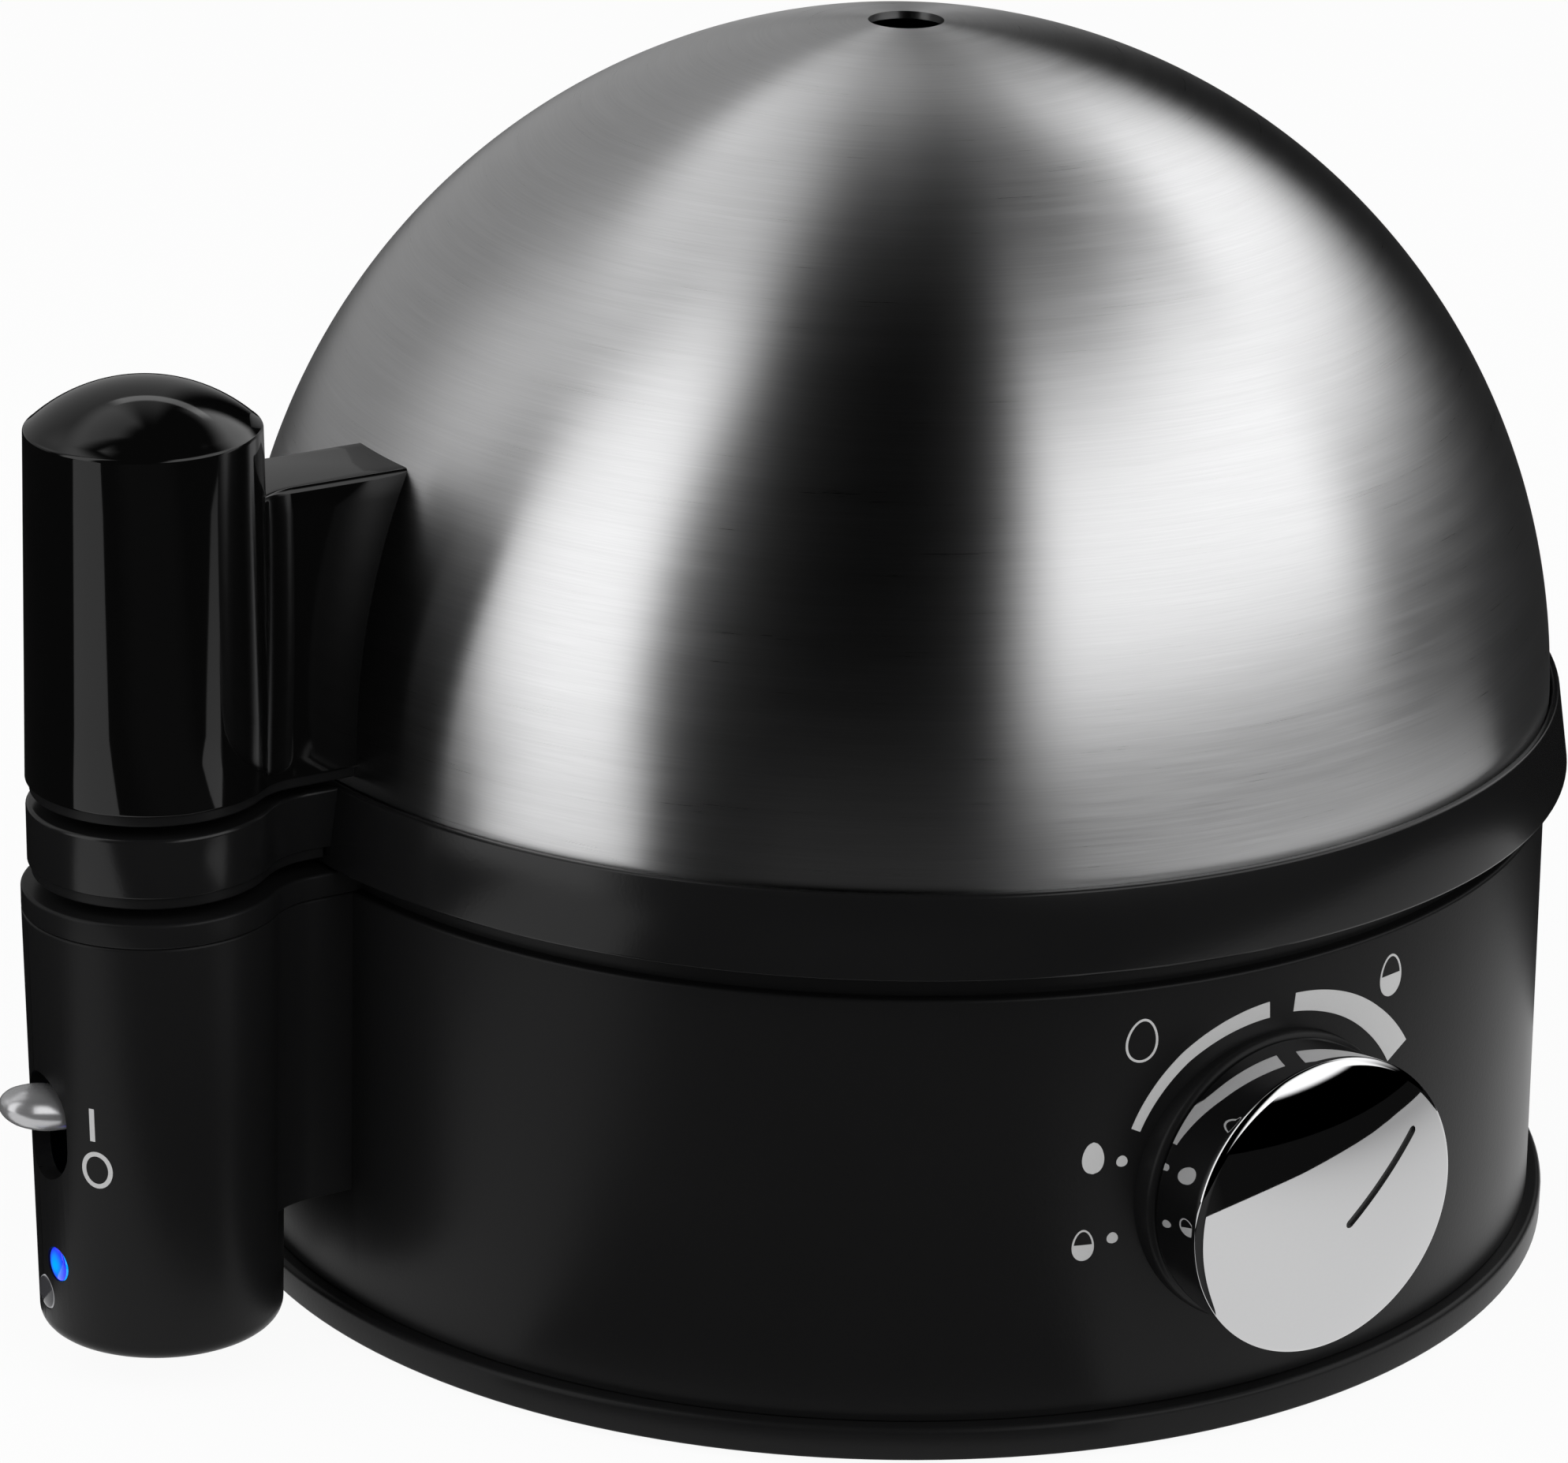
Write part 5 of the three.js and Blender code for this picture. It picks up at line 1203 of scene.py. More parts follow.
@dataclass
class DialPrint(WallPrint):
    """The egg scale printed round the knob, on the drum's wall."""

    wall_radius: float = 87.6
    blunt: float = 0.13
    runny: Flat = (-0.999, 0.02)

    def place(self, along: float, height: float, offset: float) -> Point:
        """Sets an unrolled point of the print on the drum's wall."""
        z = KNOB_HEIGHT + height
        return (*turned(self.base.drum_radius(z) + offset, 0.0, along / self.wall_radius - math.pi / 2), z)

    def swept(self, ends: Sequence[tuple[float, float, float]], steps: int = 48) -> Form:
        """An arc band round the knob whose two edges run through the given radii.

        Args:
            ends: angle in degrees with the outer and the inner radius, in order.
            steps: parts of the band.

        Returns:
            The inlay.
        """
        angles = [ends[0][0] + (ends[-1][0] - ends[0][0]) * k / steps for k in range(steps + 1)]
        return self.inlay(tuple(turned(reach, 0.0, math.radians(angle)) for reach in read_off(ends, angle))
                          for angle in angles)

    def egg(self, centre: Flat, width: float, height: float, turn: float) -> list[Flat]:
        """The outline of an egg that stands on its blunt end."""
        return [turned(width / 2 * math.cos(t) * (1 - self.blunt * math.sin(t)), height / 2 * math.sin(t), turn,
                       centre) for t in (math.tau * k / 40 for k in range(40))]

    def outlined(self, centre: Flat, width: float, height: float, stroke: float, turn: float = 0.0) -> Form:
        """An egg drawn as a line."""
        inner = self.egg(centre, width - 2 * stroke, height - 2 * stroke, turn)
        return self.inlay(zip(self.egg(centre, width, height, turn), inner), True)

    def filled(self, centre: Flat, width: float, height: float, low: float = -1.0, high: float = 1.0) -> Form:
        """An egg filled between two shares of its height."""
        pairs = []
        for k in range(25):
            level = max(-0.999, min(0.999, low + (high - low) * k / 24))
            half = width / 2 * math.cos(math.asin(level)) * (1 - self.blunt * level)
            y = centre[1] + height / 2 * level
            pairs.append(((centre[0] - half, y), (centre[0] + half, y)))
        return self.inlay(pairs)

    def build(self) -> None:
        """Builds the print as one piece."""
        self.printed("dial_print", [
            self.swept([(154.4, 22.1, 20.8), (125.7, 22.9, 21.3), (92.5, 23.2, 21.1)]),
            self.swept([(82.7, 23.7, 21.3), (70.0, 24.2, 21.4), (45.5, 25.2, 21.7), (27.4, 26.2, 22.1)]),
            self.outlined((-18.85, 21.0), 4.25, 5.7, 0.3, math.radians(-6)),
            self.outlined((19.6, 21.8), 4.1, 5.6, 0.3),
            self.filled((19.6, 21.8), 3.9, 5.4, *self.runny),
            self.filled((-24.8, 6.2), 2.83, 4.17),
            self.outlined((-25.8, -5.3), 2.84, 4.12, 0.24),
            self.filled((-25.8, -5.3), 2.7, 4.0, *self.runny),
            self.filled((-21.04, 5.4), 1.46, 1.46),
            self.filled((-22.0, -4.7), 1.46, 1.46),
        ])


@dataclass
class SwitchPrint(WallPrint):
    """The marks I and O beside the switch slot, on the tower's wall."""

    middle: float = 36.0
    oval_height: float = 31.05

    def place(self, along: float, height: float, offset: float) -> Point:
        """Sets a point, given as an arc length from the far side of the tower and a height, on its wall."""
        radius = self.base.tower_radius_at(height)
        return (*turned(radius + offset, 0.0, along / radius - math.pi, TOWER), height)

    def build(self) -> None:
        """Builds both marks as one piece."""
        radius = self.base.tower_radius_at(self.middle)
        bar, ring = (math.radians(180 - azimuth) * radius for azimuth in (146.6, 145.1))
        stroke = self.inlay(((bar - 0.35, z), (bar + 0.35, z)) for z in (34.9, 36.0, 37.1, 38.2, 39.3))
        oval = self.inlay((tuple((ring + wide * math.cos(t), self.oval_height + tall * math.sin(t))
                                 for wide, tall in ((2.15, 2.47), (1.55, 1.87)))
                           for t in (math.tau * k / 40 for k in range(40))), True)
        self.printed("switch_print", [stroke, oval])


# --- Knob and lever ---


@dataclass
class ChromedKnob:
    """The knob's chromed shell with its marker groove."""

    bench: Bench
    foot: float = 89.4
    foot_radius: float = 18.5
    radius: float = 19.3
    top: float = 13.25
    crown_radius: float = 51.7
    crown_edge: float = 18.5
    round_turn: float = 50.0
    round_radius: float = 1.6
    taper: float = 1.15
    mark_start: Flat = (0.9, -1.3)
    mark_angle: float = 41.7
    mark_length: float = 14.7
    mark_width: float = 1.1
    mark_depth: float = 0.5
    crown_steps: int = 14
    round_steps: int = 10
    side_steps: int = 12
    closeness: float = 0.02
    alignment: float = 0.75

    def face(self, out: float) -> float:
        """Distance of the crowned face from the knob's foot, at a radius."""
        return self.top - self.crown_radius + math.sqrt(self.crown_radius ** 2 - out ** 2)

    def outside(self) -> list[tuple[float, float, float]]:
        """Radius, distance from the foot and slope of the outward normal, from the foot to the face's middle."""
        start = math.asin(self.crown_edge / self.crown_radius)
        turn = math.radians(self.round_turn)
        small = (self.radius - self.crown_edge - self.round_radius * (math.sin(turn) - math.sin(start))) / (
            1 - math.sin(turn))
        points = [(r, self.face(r), math.asin(r / self.crown_radius)) for r in (
            self.crown_edge * (1 - k / self.crown_steps) for k in range(self.crown_steps + 1))]
        here = points[0][:2]
        for radius, first, last in ((self.round_radius, start, turn), (small, turn, math.pi / 2)):
            middle = (here[0] - radius * math.sin(first), here[1] - radius * math.cos(first))
            for k in range(1, self.round_steps + 1):
                slope = first + (last - first) * k / self.round_steps
                points.insert(0, (middle[0] + radius * math.sin(slope), middle[1] + radius * math.cos(slope), slope))
            here = points[0][:2]
        widening = self.radius - self.foot_radius
        side = []
        for share in (k / self.side_steps for k in range(self.side_steps)):
            growth = widening * self.taper * max(share, 1e-3) ** (self.taper - 1)
            side.append((self.foot_radius + widening * share ** self.taper, here[1] * share,
                         math.pi / 2 + math.atan2(growth, here[1])))
        return side + points

    def build(self) -> None:
        """Builds the shell, and the dark fill in its groove."""
        outside = self.outside()
        reach = self.crown_edge * 0.95
        inner = [(reach * k / 8, self.face(reach * k / 8) - 1.5) for k in range(9)]
        shell = revolved([*((r, z) for r, z, _ in outside), *inner, (self.foot_radius - 1.5, 0.0)], FINE)
        groove = self.groove_form(self.mark_depth, 3.0, 0.0)
        mesh = carved("knob_cap", shell, cuts=[groove])
        self.smooth_face(mesh)
        mesh.transform(self.turn_to_front())
        self.bench.piece("knob_cap", mesh, Slot.CHROME, Body.KNOB, ["knob_shell"])
        # A near-black inlay fills the groove, so that the groove renders dark.
        mark = self.groove_form(self.mark_depth + 0.1, -self.mark_depth + 0.15, 0.02)
        groove_fill = mark.placed(self.turn_to_front())
        self.bench.piece("knob_mark", groove_fill, Slot.CHROME, Body.KNOB, material=self.bench.palette.marker)

    def turn_to_front(self) -> Matrix:
        """The matrix that sets a form drawn from the knob's foot along +Z on the front wall."""
        return Matrix.Translation((0.0, -self.foot, KNOB_HEIGHT)) @ Matrix.Rotation(math.pi / 2, 4, "X")

    def groove_form(self, below: float, above: float, wider: float) -> Form:
        """The groove from near the face's middle to its end, following the crown.

        Args:
            below: how far it goes under the face.
            above: how far it reaches over the face.
            wider: how much wider it is than the groove.

        Returns:
            The form.
        """
        rings = []
        steps = 24
        half, angle = self.mark_width / 2 + wider, math.radians(self.mark_angle)
        for k in range(steps + 1):
            along = (self.mark_length + half) * (0.5 - 0.5 * math.cos(math.pi * k / steps)) - half * 0.5
            from_end = min(along + half * 0.5, self.mark_length + half * 0.5 - along)
            across = half if from_end >= half else math.sqrt(max(half ** 2 - (half - from_end) ** 2, 0.02))
            level = self.face(math.hypot(*turned(along, 0.0, angle, self.mark_start)))
            rings.append([(*turned(along, aside, angle, self.mark_start), level + lift) for aside, lift in (
                (across, above), (-across, above), (-across, -below), (across, -below))])
        return skinned(rings)

    def smooth_face(self, mesh: bpy.types.Mesh) -> None:
        """Gives the shell the exact normals of its curves, so that its mirror shows no facets.

        Args:
            mesh: the shell, drawn from its foot along +Z.
        """
        outside = self.outside()
        normals: list[Vector] = []
        for polygon in mesh.polygons:
            flat = polygon.normal
            for loop in polygon.loop_indices:
                co = mesh.vertices[mesh.loops[loop].vertex_index].co
                out = math.hypot(co.x, co.y)
                near = min(outside, key=lambda place: (place[0] - out) ** 2 + (place[1] - co.z) ** 2)
                slope = near[2]
                if out < self.crown_edge and abs(co.z - self.face(out)) < self.closeness:
                    slope = math.asin(out / self.crown_radius)
                elif math.dist(near[:2], (out, co.z)) > self.closeness:
                    normals.append(flat)
                    continue
                around = Vector((co.x, co.y)).normalized() if out > 1e-6 else Vector((1.0, 0.0))
                smooth = Vector((around.x * math.sin(slope), around.y * math.sin(slope), math.cos(slope)))
                normals.append(smooth if smooth.dot(flat) > self.alignment else flat)
        mesh.shade_smooth()
        mesh.normals_split_custom_set([tuple(n) for n in normals])


@dataclass
class SwitchLever:
    """The silver lever that tips in the tower's slot."""

    bench: Bench
    pivot: Point = (-114.05, 0.0, LEVER_HEIGHT)
    tilt: float = 12.3
    stations: tuple[tuple[float, float, float], ...] = (
        (6.0, 3.6, 2.0), (8.0, 4.1, 2.35), (10.0, 4.25, 2.65), (11.5, 4.2, 2.8), (13.0, 4.05, 2.75),
        (15.0, 3.6, 2.35), (16.3, 2.7, 1.75), (17.1, 1.6, 1.05), (17.45, 0.5, 0.35))

    def finger(self) -> Form:
        """The finger, skinned through its stations with a smooth run between them."""
        rows = [self.stations[0], *self.stations, self.stations[-1]]
        sections = []
        for before, here, after, beyond in zip(rows, rows[1:], rows[2:], rows[3:]):
            for k in range(5):
                t = k / 5
                sections.append(tuple(0.5 * (2 * b + (c - a) * t + (2 * a - 5 * b + 4 * c - d) * t ** 2
                                             + (3 * b - a - 3 * c + d) * t ** 3)
                                      for a, b, c, d in zip(before, here, after, beyond)))
        sections.append(self.stations[-1])
        turns = [math.tau * k / 56 for k in range(56)]
        skin = stacked([([(wide * math.cos(t), thick * math.sin(t)) for t in turns], reach)
                        for reach, wide, thick in sections])
        return Form([(z, x, y) for x, y, z in skin.points], skin.faces)

    def shield(self) -> Form:
        """The round shield that closes the slot behind the finger."""
        bend = math.radians(60)
        outline = arc((0.0, 0.0), 6.8, -bend, bend, 24) + arc((0.0, 0.0), 5.9, bend, -bend, 24)
        wall = stacked([(outline, -4.6), (outline, 4.6)])
        return Form([(x, z, -y) for x, y, z in wall.points], wall.faces)

    def build(self) -> None:
        """Builds the finger piece with its stem, shield and hub as one body."""
        bar = rod(1.7, 0.0, 9.0, 24)
        stem = Form([(z, y, x) for x, y, z in bar.points], bar.faces)
        drum = rod(2.8, -3.2, 3.2, 40, 0.2)
        hub = Form([(x, z, y) for x, y, z in drum.points], drum.faces)
        mesh = carved("lever_finger", self.finger(), [self.shield(), stem, hub])
        turn = Matrix.Translation(self.pivot) @ Matrix.Rotation(math.pi + math.radians(self.tilt), 4, "Y")
        mesh.transform(turn)
        self.bench.piece("lever_finger", mesh, Slot.SILVER, Body.LEVER, ["switch_lever"], crease=40.0)


# --- Carrier ---


@dataclass
class EggCarrier:
    """The ring with its handle, and the steel tray with seven egg holes."""

    bench: Bench
    radius: float = 90.0
    top_radius: float = 88.4
    bottom: float = 64.8
    top: float = 75.3
    handle_radius: float = 15.5
    handle_bottom: float = 67.5
    neck_half: float = 8.6
    screw_height: float = LEDGE + 1.3

    def build(self) -> None:
        """Builds ring, plug, tray and screws."""
        self.ring()
        self.tray()

    def ring(self) -> None:
        """The carrier's ring with its ledge and lip, and the handle that its neck carries."""
        ring = revolved(soften([
            (86.1, self.bottom, 0.2), (self.radius, self.bottom, 0.35), (self.top_radius, self.top, 0.4),
            (87.4, self.top, 0.25), (87.4, LEDGE, 0.2), (80.5, LEDGE, 0.3), (80.5, RING_TOP, 0.3),
            (86.1, RING_TOP, 0.2)], 4), FINE)
        plan = NeckPlan(half_width=self.neck_half, tower_radius=self.handle_radius, inner_end=87.9)
        handle = rounded_stack(lambda inset, z: plan.outline(inset), self.handle_bottom, self.top, 0.3, 0.55)
        mesh = carved("carrier_body", ring, [handle])
        self.bench.piece("carrier_body", mesh, Slot.MATTE_BLACK, Body.CARRIER, ["carrier_ring"],
                         material=self.bench.palette.satin)
        under = NeckPlan(half_width=self.neck_half - 0.5, fillet=10.5, tower_radius=15.0, inner_end=90.3)
        plug = rounded_stack(lambda inset, z: under.outline(inset), 66.0, self.handle_bottom, 0.3, 0.0)
        self.bench.piece("carrier_closing_plug", plug, Slot.MATTE_BLACK, Body.CARRIER, ["carrier_handle_plug"])

    def tray(self) -> None:
        """The steel tray with seven flanged egg holes, its steam holes and its screws."""
        hole, outer, low, high = EGG_HOLE_RADIUS, EGG_HOLE_RADIUS + 1.2, LEDGE - 3.0, LEDGE + 0.02
        lip = revolved(soften([(hole, low, 0.3), (outer, low, 0.3), (outer, high, 0), (hole, high, 0)], 3), MEDIUM)
        collar = loose_object("tray_collar", lip.mesh("tray_collar"))
        mesh = grown("egg_plate", self.bench.repeats.tray, bpy.data.meshes.new("tray_seed"), {"Collar": collar})
        bpy.data.objects.remove(collar)
        layer = mesh.uv_layers.get("surface") or mesh.uv_layers.new(name="surface")
        for loop in mesh.loops:
            co = mesh.vertices[loop.vertex_index].co
            layer.data[loop.index].uv = (math.hypot(co.x, co.y) / 200.0, math.atan2(co.y, co.x) / math.tau + 0.5)
        # The tray takes the darkened steel, whose low colour is painted shade.
        self.bench.piece("egg_plate", mesh, Slot.STEEL, Body.CARRIER, ["egg_tray"],
                         material=self.bench.palette.tray)
        upside = pan_screw(1.0, 1.55, 1.1, 3.7, 0.4, 0.4).placed(Matrix.Rotation(math.pi, 4, "X"))
        screws = self.bench.ring_of("tray_screws", upside, 3, TRAY_SCREW_PITCH, math.pi / 3, self.screw_height)
        self.bench.piece("tray_screws", screws, Slot.ZINC, Body.CARRIER, [f"tray_screw_{i}" for i in (1, 2, 3)])


# --- Lid ---


@dataclass
class DomeLid:
    """The steel dome with its steam vent, and the handle that a bridge ties to it."""

    bench: Bench
    radius: float = 87.1
    wall: float = 1.0
    rise: float = 88.7
    vent_radius: float = 4.9
    handle_bottom: float = 78.2
    handle_shoulder: float = 122.8
    bridge_top: float = 114.5
    bridge_half: float = 10.5
    bridge_narrowing: float = 4.0
    foot_radius: float = 15.5
    narrowing: float = 0.9
    overlap: float = 0.4

    def radius_at(self, height: float) -> float:
        """The dome's outer radius at a height."""
        share = max(0.0, (height - SPRING) / self.rise)
        return self.radius * math.sqrt(max(0.0, 1 - share ** 2))

    def build(self) -> None:
        """Builds dome, handle, bridge and plug."""
        self.dome()
        self.handle()
        self.plug()

    def dome(self) -> None:
        """The spun steel shell, open at the steam vent."""
        steps = 88
        walls = []
        for radius, rise, vent in ((self.radius, self.rise, self.vent_radius),
                                   (self.radius - self.wall, self.rise - self.wall, self.vent_radius + 0.1)):
            last = math.acos(vent / radius)
            walls.append([(radius, LEDGE)] + [(radius * math.cos(last * k / steps),
                                               SPRING + rise * math.sin(last * k / steps)) for k in range(steps + 1)])
        shell = revolved(walls[0] + walls[1][::-1], 256, first=math.pi)
        self.bench.piece("steel_dome", shell, Slot.STEEL, Body.LID, ["lid_dome"], crease=40.0)

    def handle_radius(self, height: float) -> float:
        """Radius of the tapered handle at a height."""
        share = (height - self.handle_bottom) / (self.handle_shoulder - self.handle_bottom)
        return self.foot_radius - self.narrowing * share

    def handle(self) -> None:
        """The crowned gloss black tower with the bridge that lies against the dome."""
        top = self.handle_radius(self.handle_shoulder)
        shoulder, corner, rise, low_edge = self.handle_shoulder + 0.1, 0.6, 5.6, 0.35
        edge = arc((top - corner, shoulder), corner, 0.0, 0.35 * math.pi, 7)
        chord = edge[-1][0]
        crown_radius = (chord ** 2 + rise ** 2) / (2 * rise)
        level = edge[-1][1] + rise - crown_radius
        crown = [(reach, level + math.sqrt(crown_radius ** 2 - reach ** 2))
                 for reach in (chord * (1 - k / 20) for k in range(1, 21))]
        low = arc((self.foot_radius - low_edge, self.handle_bottom + low_edge), low_edge, -math.pi / 2, 0.0, 4)
        sides = [(self.handle_radius(z), z) for z in (88.0, 98.0, 108.0, 116.0)]
        tower = revolved([(0.0, self.handle_bottom), *low, *sides, *edge, *crown], 128, TOWER, math.pi)
        mesh = carved("lid_grip", tower, [self.bridge_form()])
        self.bench.piece("lid_grip", mesh, Slot.GLOSS_BLACK, Body.LID, ["lid_handle"], crease=28.0)

    def bridge_form(self) -> Form:
        """The bridge, narrower at its top, whose end follows the dome."""
        plan = NeckPlan(fillet=8.0, sunk=0.5, bite=0.06, arc_steps=20, tower_steps=40)

        def outline(inset: float, z: float) -> list[Flat]:
            share = (z - self.handle_bottom) / (self.bridge_top - self.handle_bottom)
            half = self.bridge_half - self.bridge_narrowing * share
            return plan.outline(inset, self.handle_radius(z), half, self.radius_at(z) - self.overlap)

        return rounded_stack(outline, self.handle_bottom, self.bridge_top, 0.35, 0.7, 14)

    def plug(self) -> None:
        """The plug that closes the hollow handle from below."""
        plan = NeckPlan(half_width=10.0, fillet=8.5, tower_radius=15.0)
        form = rounded_stack(lambda inset, z: plan.outline(inset, inner_end=self.radius_at(z) - self.overlap),
                             76.8, self.handle_bottom, 0.3, 0.0)
        self.bench.piece("lid_closing_plug", form, Slot.MATTE_BLACK, Body.LID, ["lid_handle_plug"])


# --- Studio ---


@dataclass(frozen=True)
class Panel:
    """A soft-edged light panel; azimuth from the camera's side, positive to the right in the picture."""

    middle: float
    half_width: float
    low: float
    high: float
    left_edge: float
    right_edge: float
    lower_edge: float
    upper_edge: float
    radiance: float
    lean: float = 0.0

    def sockets(self) -> dict[str, float]:
        """The values for the panel group's inputs."""
        return {name.replace("_", " ").capitalize(): value for name, value in asdict(self).items()}


@dataclass
class Studio:
    """The camera, the pale floor, the lamps and the flags that shade the mirror-like metal."""

    camera_place: Point = (-417.291, -630.458, 338.843)
    right: Point = (0.84698775, -0.53138739, 0.01546578)
    up: Point = (0.16942528, 0.2973966, 0.93960116)
    forward: Point = (0.50389167, 0.79321038, -0.34192174)
    lens: float = 137.985
    ambient: float = 0.5
    floor_reach: float = 6.0
    floor_glow: float = 0.94
    floor_paper: tuple[float, ...] = (0.9, 0.9, 0.9, 1.0)
    floor_loss: float = 0.5
    floor_fade: Flat = (0.08, 0.42)
    tent_radius: float = 1.5
    cloth_height: float = 0.0005
    cloth_fade: Flat = (0.88, 0.97)
    cloth_glow: Flat = (0.008, 0.045)
    panels: tuple[Panel, ...] = (
        Panel(-59.1, 19.5, -12.0, 74.0, 8.0, 9.0, 5.0, 16.0, 1.72, -1.9),
        Panel(-127.0, 37.0, 45.0, 82.0, 20.0, 12.0, 12.0, 10.0, 0.66),
        Panel(55.9, 43.1, 10.5, 66.0, 15.0, 20.0, 1.5, 17.0, 1.83, 9.5),
        Panel(116.5, 38.5, 13.0, 60.0, 22.0, 10.0, 22.0, 16.0, 1.7, 10.0),
        Panel(-137.0, 53.0, -10.0, 80.0, 14.0, 10.0, 5.0, 24.0, 0.36),
        Panel(-101.0, 29.0, 12.0, 62.0, 30.0, 10.0, 16.0, 20.0, 0.5),
        Panel(180.0, 32.0, 47.0, 54.0, 10.0, 10.0, 1.0, 1.0, 1.4),
    )
    cloth_edge: tuple[Flat, ...] = (
        (-180.0, 0.097), (-65.0, 0.097), (-59.0, 1.3), (-40.0, 1.3), (-36.0, 0.097), (20.0, 0.097), (24.0, 0.207),
        (38.0, 0.27), (47.0, 0.31), (60.0, 0.378), (68.0, 0.417), (78.0, 0.476), (88.0, 0.5), (96.0, 0.42),
        (108.0, 0.28), (118.0, 0.097), (180.0, 0.097),
    )

    def build(self) -> None:
        """Sets up everything round the boiler."""
        scene = bpy.context.scene
        scene.view_settings.view_transform = "Standard"
        self.camera(scene)
        self.world(scene)
        self.floor()
        self.lamps()
        self.flags()

    def camera(self, scene: bpy.types.Scene) -> None:
        """The camera at the photograph's place and angle."""
        data = bpy.data.cameras.new("view")
        data.sensor_width = 36.0
        data.sensor_fit = "HORIZONTAL"
        data.lens = self.lens
        data.clip_start = 0.01
        data.clip_end = 50.0
        camera = bpy.data.objects.new("view", data)
        scene.collection.objects.link(camera)
        columns = (Vector(self.right), Vector(self.up), -Vector(self.forward))
        turn = Matrix([[column[i] for column in columns] for i in range(3)]).to_4x4()
        camera.matrix_world = Matrix.Translation(AXIS + Vector(self.camera_place) * MM) @ turn
        scene.camera = camera

    def world(self, scene: bpy.types.Scene) -> None:
        """A white surround for the camera, for mirrors and for glass, and a softer one for the light."""
        world = bpy.data.worlds.new("surround")
        world.use_nodes = True
        world.node_tree.nodes.clear()
        hand = NodeTree(world.node_tree)
        strength = hand.math("MULTIPLY_ADD", hand.seen(), 1.0 - self.ambient, self.ambient)
        light = hand.add("ShaderNodeBackground", {"Color": WHITE, "Strength": strength})
        hand.add("ShaderNodeOutputWorld", {"Surface": light.outputs[0]})
        scene.world = world

    def level(self, direction: Point) -> Vector:
        """The level part of a direction, at unit length."""
        return Vector((*direction[:2], 0.0)).normalized()

    def floor(self) -> None:
        """A large pale floor that keeps the boiler's shadow; a mirror sees it dimmer to the right."""
        reach = self.floor_reach
        mesh = plain_mesh("studio_floor", [(-reach, -reach, 0), (reach, -reach, 0), (reach, reach, 0),
                                           (-reach, reach, 0)], [(0, 1, 2, 3)])
        material, hand = blank_material("pale floor")
        paper = hand.add("ShaderNodeBsdfDiffuse", {"Color": self.floor_paper})
        aside = hand.vector("DOT_PRODUCT", hand.place(), tuple(self.level(self.right)))
        mirrored = hand.add("ShaderNodeLightPath").outputs["Is Glossy Ray"]
        loss = hand.math("MULTIPLY", hand.ramp(aside, *self.floor_fade, 0.0, self.floor_loss), mirrored)
        white = hand.add("ShaderNodeEmission", {"Color": WHITE, "Strength": hand.math("SUBTRACT", 1.0, loss)})
        share = hand.math("MULTIPLY", hand.seen(), self.floor_glow)
        hand.surface(hand.add("ShaderNodeMixShader", {"Fac": share, "1": paper.outputs[0], "2": white.outputs[0]}))
        mesh.materials.append(material)
        made = loose_object("studio_floor", mesh)

    def toward(self, azimuth: float, elevation: float, distance: float) -> Vector:
        """A place round the boiler.

        Args:
            azimuth: degrees from the camera's side, positive to the right in the picture.
            elevation: degrees above the floor.
            distance: metres from the drum's axis.

        Returns:
            The place in the row frame, in metres.
        """
        a, e = math.radians(azimuth), math.radians(elevation)
        level = self.level(self.right) * math.sin(a) - self.level(self.forward) * math.cos(a)
        return AXIS + level * (math.cos(e) * distance) + Vector((0, 0, math.sin(e) * distance))

    def softbox(self, name: str, azimuth: float, elevation: float, distance: float, width: float, height: float,
                radiance: float) -> bpy.types.Object:
        """An area lamp that faces the boiler."""
        data = bpy.data.lights.new(name, "AREA")
        data.shape = "RECTANGLE"
        data.size = width
        data.size_y = height
        data.energy = radiance * math.pi * width * height
        lamp = bpy.data.objects.new(name, data)
        bpy.context.scene.collection.objects.link(lamp)
        place = self.toward(azimuth, elevation, distance)
        lamp.location = place
        aim = AXIS + Vector((0, 0, 0.08)) - place
        lamp.rotation_euler = aim.to_track_quat("-Z", "Y").to_euler()
        return lamp

    def lamps(self) -> None:
        """The lamps that light the plastic and the prints; mirrors see the panels of the tent instead."""
        for lamp in (self.softbox("left_lamp", -62.0, 32.0, 1.3, 0.8, 1.3, 1.5),
                     self.softbox("right_lamp", 55.0, 36.0, 1.3, 1.1, 1.2, 1.5)):
            lamp.visible_glossy = False

    def mirror_only(self, name: str, mesh: bpy.types.Mesh, material: bpy.types.Material) -> None:
        """Sets a sheet in the studio that nothing but a mirror sees."""
        made = loose_object(name, mesh)
        mesh.materials.append(material)
        for kind in ("camera", "diffuse", "shadow", "transmission", "volume_scatter"):
            setattr(made, "visible_" + kind, False)

    def flags(self) -> None:
        """The black tent with its light panels, and the black cloth on the floor."""
        self.mirror_only("tent", self.tent_mesh(), self.tent_material())
        self.mirror_only("floor_cloth", self.cloth_mesh(), self.cloth_material())

    def tent_mesh(self) -> bpy.types.Mesh:
        """A dome round the boiler, drawn about its own middle."""
        columns, rows = 72, 18
        points = [tuple(self.toward(360.0 * i / columns, 89.9 * j / rows, self.tent_radius))
                  for j in range(rows + 1) for i in range(columns)]
        faces = [(a, b, b + columns, a + columns) for a, b in (
            (j * columns + i, j * columns + (i + 1) % columns) for j in range(rows) for i in range(columns))]
        return plain_mesh("tent", points, [*faces, tuple(range(rows * columns, (rows + 1) * columns))])

    def cloth_mesh(self) -> bpy.types.Mesh:
        """The cloth on the floor, cut back where the floor is lit."""
        points = []
        steps = 180
        for k in range(steps):
            azimuth = -180.0 + 360.0 * k / steps
            for reach in (*read_off(self.cloth_edge, azimuth), self.tent_radius + 0.02):
                place = self.toward(azimuth, 0.0, reach)
                points.append((place.x, place.y, self.cloth_height))
        faces = [(a, a + 1, b + 1, b) for a, b in ((k * 2, (k + 1) % steps * 2) for k in range(steps))]
        return plain_mesh("floor_cloth", points, faces)

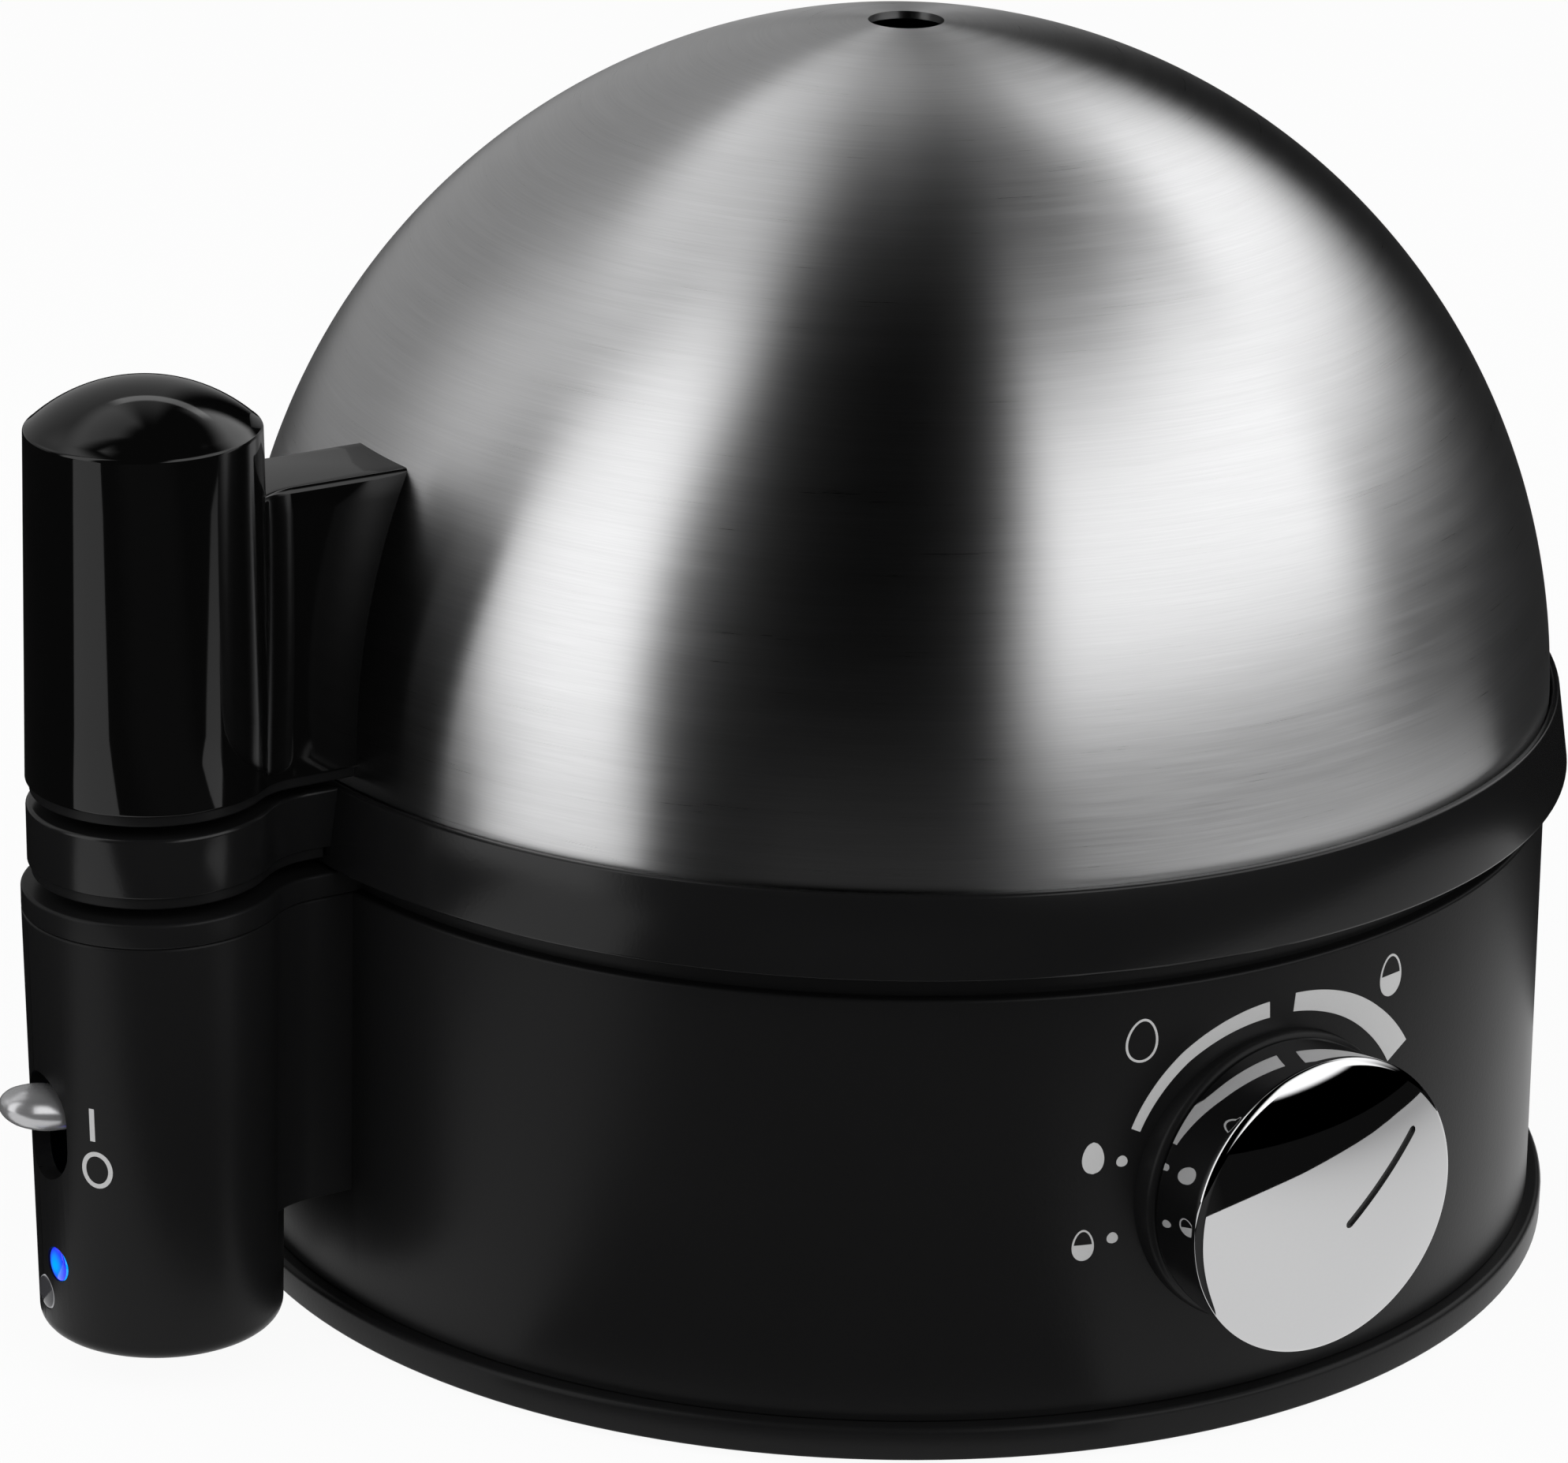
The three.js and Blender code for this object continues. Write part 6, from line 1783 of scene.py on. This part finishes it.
    def cloth_material(self) -> bpy.types.Material:
        """Dull black cloth, a little paler towards the camera."""
        made, hand = blank_material("black cloth")
        spoke = hand.vector("NORMALIZE", hand.vector("SUBTRACT", hand.place(), tuple(AXIS)))
        ahead = hand.vector("DOT_PRODUCT", spoke, tuple(-self.level(self.forward)))
        glow = hand.ramp(ahead, *self.cloth_fade, *self.cloth_glow, "LINEAR")
        hand.surface(hand.add("ShaderNodeEmission", {"Color": WHITE, "Strength": glow}))
        return made

    def panel_group(self) -> bpy.types.NodeTree:
        """One soft-edged panel of light on the tent, given by azimuth and elevation in degrees."""
        names = ("Azimuth", "Elevation", *self.panels[0].sockets())
        hand = node_group("ShaderNodeTree", "soft panel", {name: ("NodeSocketFloat", 0.0) for name in names},
                          {"Radiance": "NodeSocketFloat"})
        inside = hand.inside()
        climb = hand.math("POWER", hand.math("DIVIDE", inside["Elevation"], 45.0), 2.0)
        middle = hand.math("MULTIPLY_ADD", climb, inside["Lean"], inside["Middle"])
        aside = hand.math("WRAP", hand.math("SUBTRACT", inside["Azimuth"], middle), 180.0, -180.0)
        left = hand.math("ADD", aside, inside["Half width"])
        right = hand.math("SUBTRACT", inside["Half width"], aside)
        above = hand.math("SUBTRACT", inside["Elevation"], inside["Low"])
        below = hand.math("SUBTRACT", inside["High"], inside["Elevation"])
        light = inside["Radiance"]
        for margin, edge in ((left, "Left edge"), (right, "Right edge"), (above, "Lower edge"),
                             (below, "Upper edge")):
            light = hand.math("MULTIPLY", light, hand.ramp(margin, 0.0, inside[edge]))
        hand.link(light, hand.outside()[0])
        return hand.tree

    def tent_material(self) -> bpy.types.Material:
        """Black cloth with the studio's light panels on it."""
        made, hand = blank_material("tent panels")
        facing = math.atan2(-self.forward[1], -self.forward[0])
        centred = hand.vector("SUBTRACT", hand.place(), tuple(AXIS))
        spoke = hand.add("ShaderNodeVectorRotate", {"Vector": centred, "Angle": -facing},
                         rotation_type="Z_AXIS").outputs[0]
        x, y, z = hand.add("ShaderNodeSeparateXYZ", {"Vector": spoke}).outputs
        azimuth = hand.math("DEGREES", hand.math("ARCTAN2", y, x))
        climb = hand.math("DIVIDE", z, hand.vector("LENGTH", spoke))
        angles = {"Azimuth": azimuth, "Elevation": hand.math("DEGREES", hand.math("ARCSINE", climb))}
        group = self.panel_group()
        total: object = 0.0
        for panel in self.panels:
            light = hand.add("ShaderNodeGroup", {**angles, **panel.sockets()}, node_tree=group)
            total = hand.math("ADD", total, light.outputs[0])
        hand.surface(hand.add("ShaderNodeEmission", {"Color": WHITE, "Strength": total}))
        return made


# --- Everything in order ---


def dress_cad_nodes(palette: Palette) -> None:
    """Gives every CAD node the procedural finish of its slot, with turned aluminium in place of the brushed steel."""
    for part in frame["record"]["subparts"]:
        node = frame["nodes"][part["node"]]
        material = palette.by_slot[Slot(part["material_slot"])]
        if material.name.startswith(("brushed", "turned")):
            material = palette.by_slot[Slot.ALUMINIUM]
        for place in node.material_slots:
            place.material = material
        log.info("%s: CAD node in %s", part["node"], material.name)


def main() -> None:
    logging.basicConfig(level=logging.INFO, format="%(name)s %(message)s")
    palette = Palette()
    bench = Bench(palette, Repeats())
    dress_cad_nodes(palette)
    HeatedBase(bench).build()
    ChromedKnob(bench).build()
    SwitchLever(bench).build()
    EggCarrier(bench).build()
    DomeLid(bench).build()
    Studio().build()


if __name__ == "__main__":
    main()
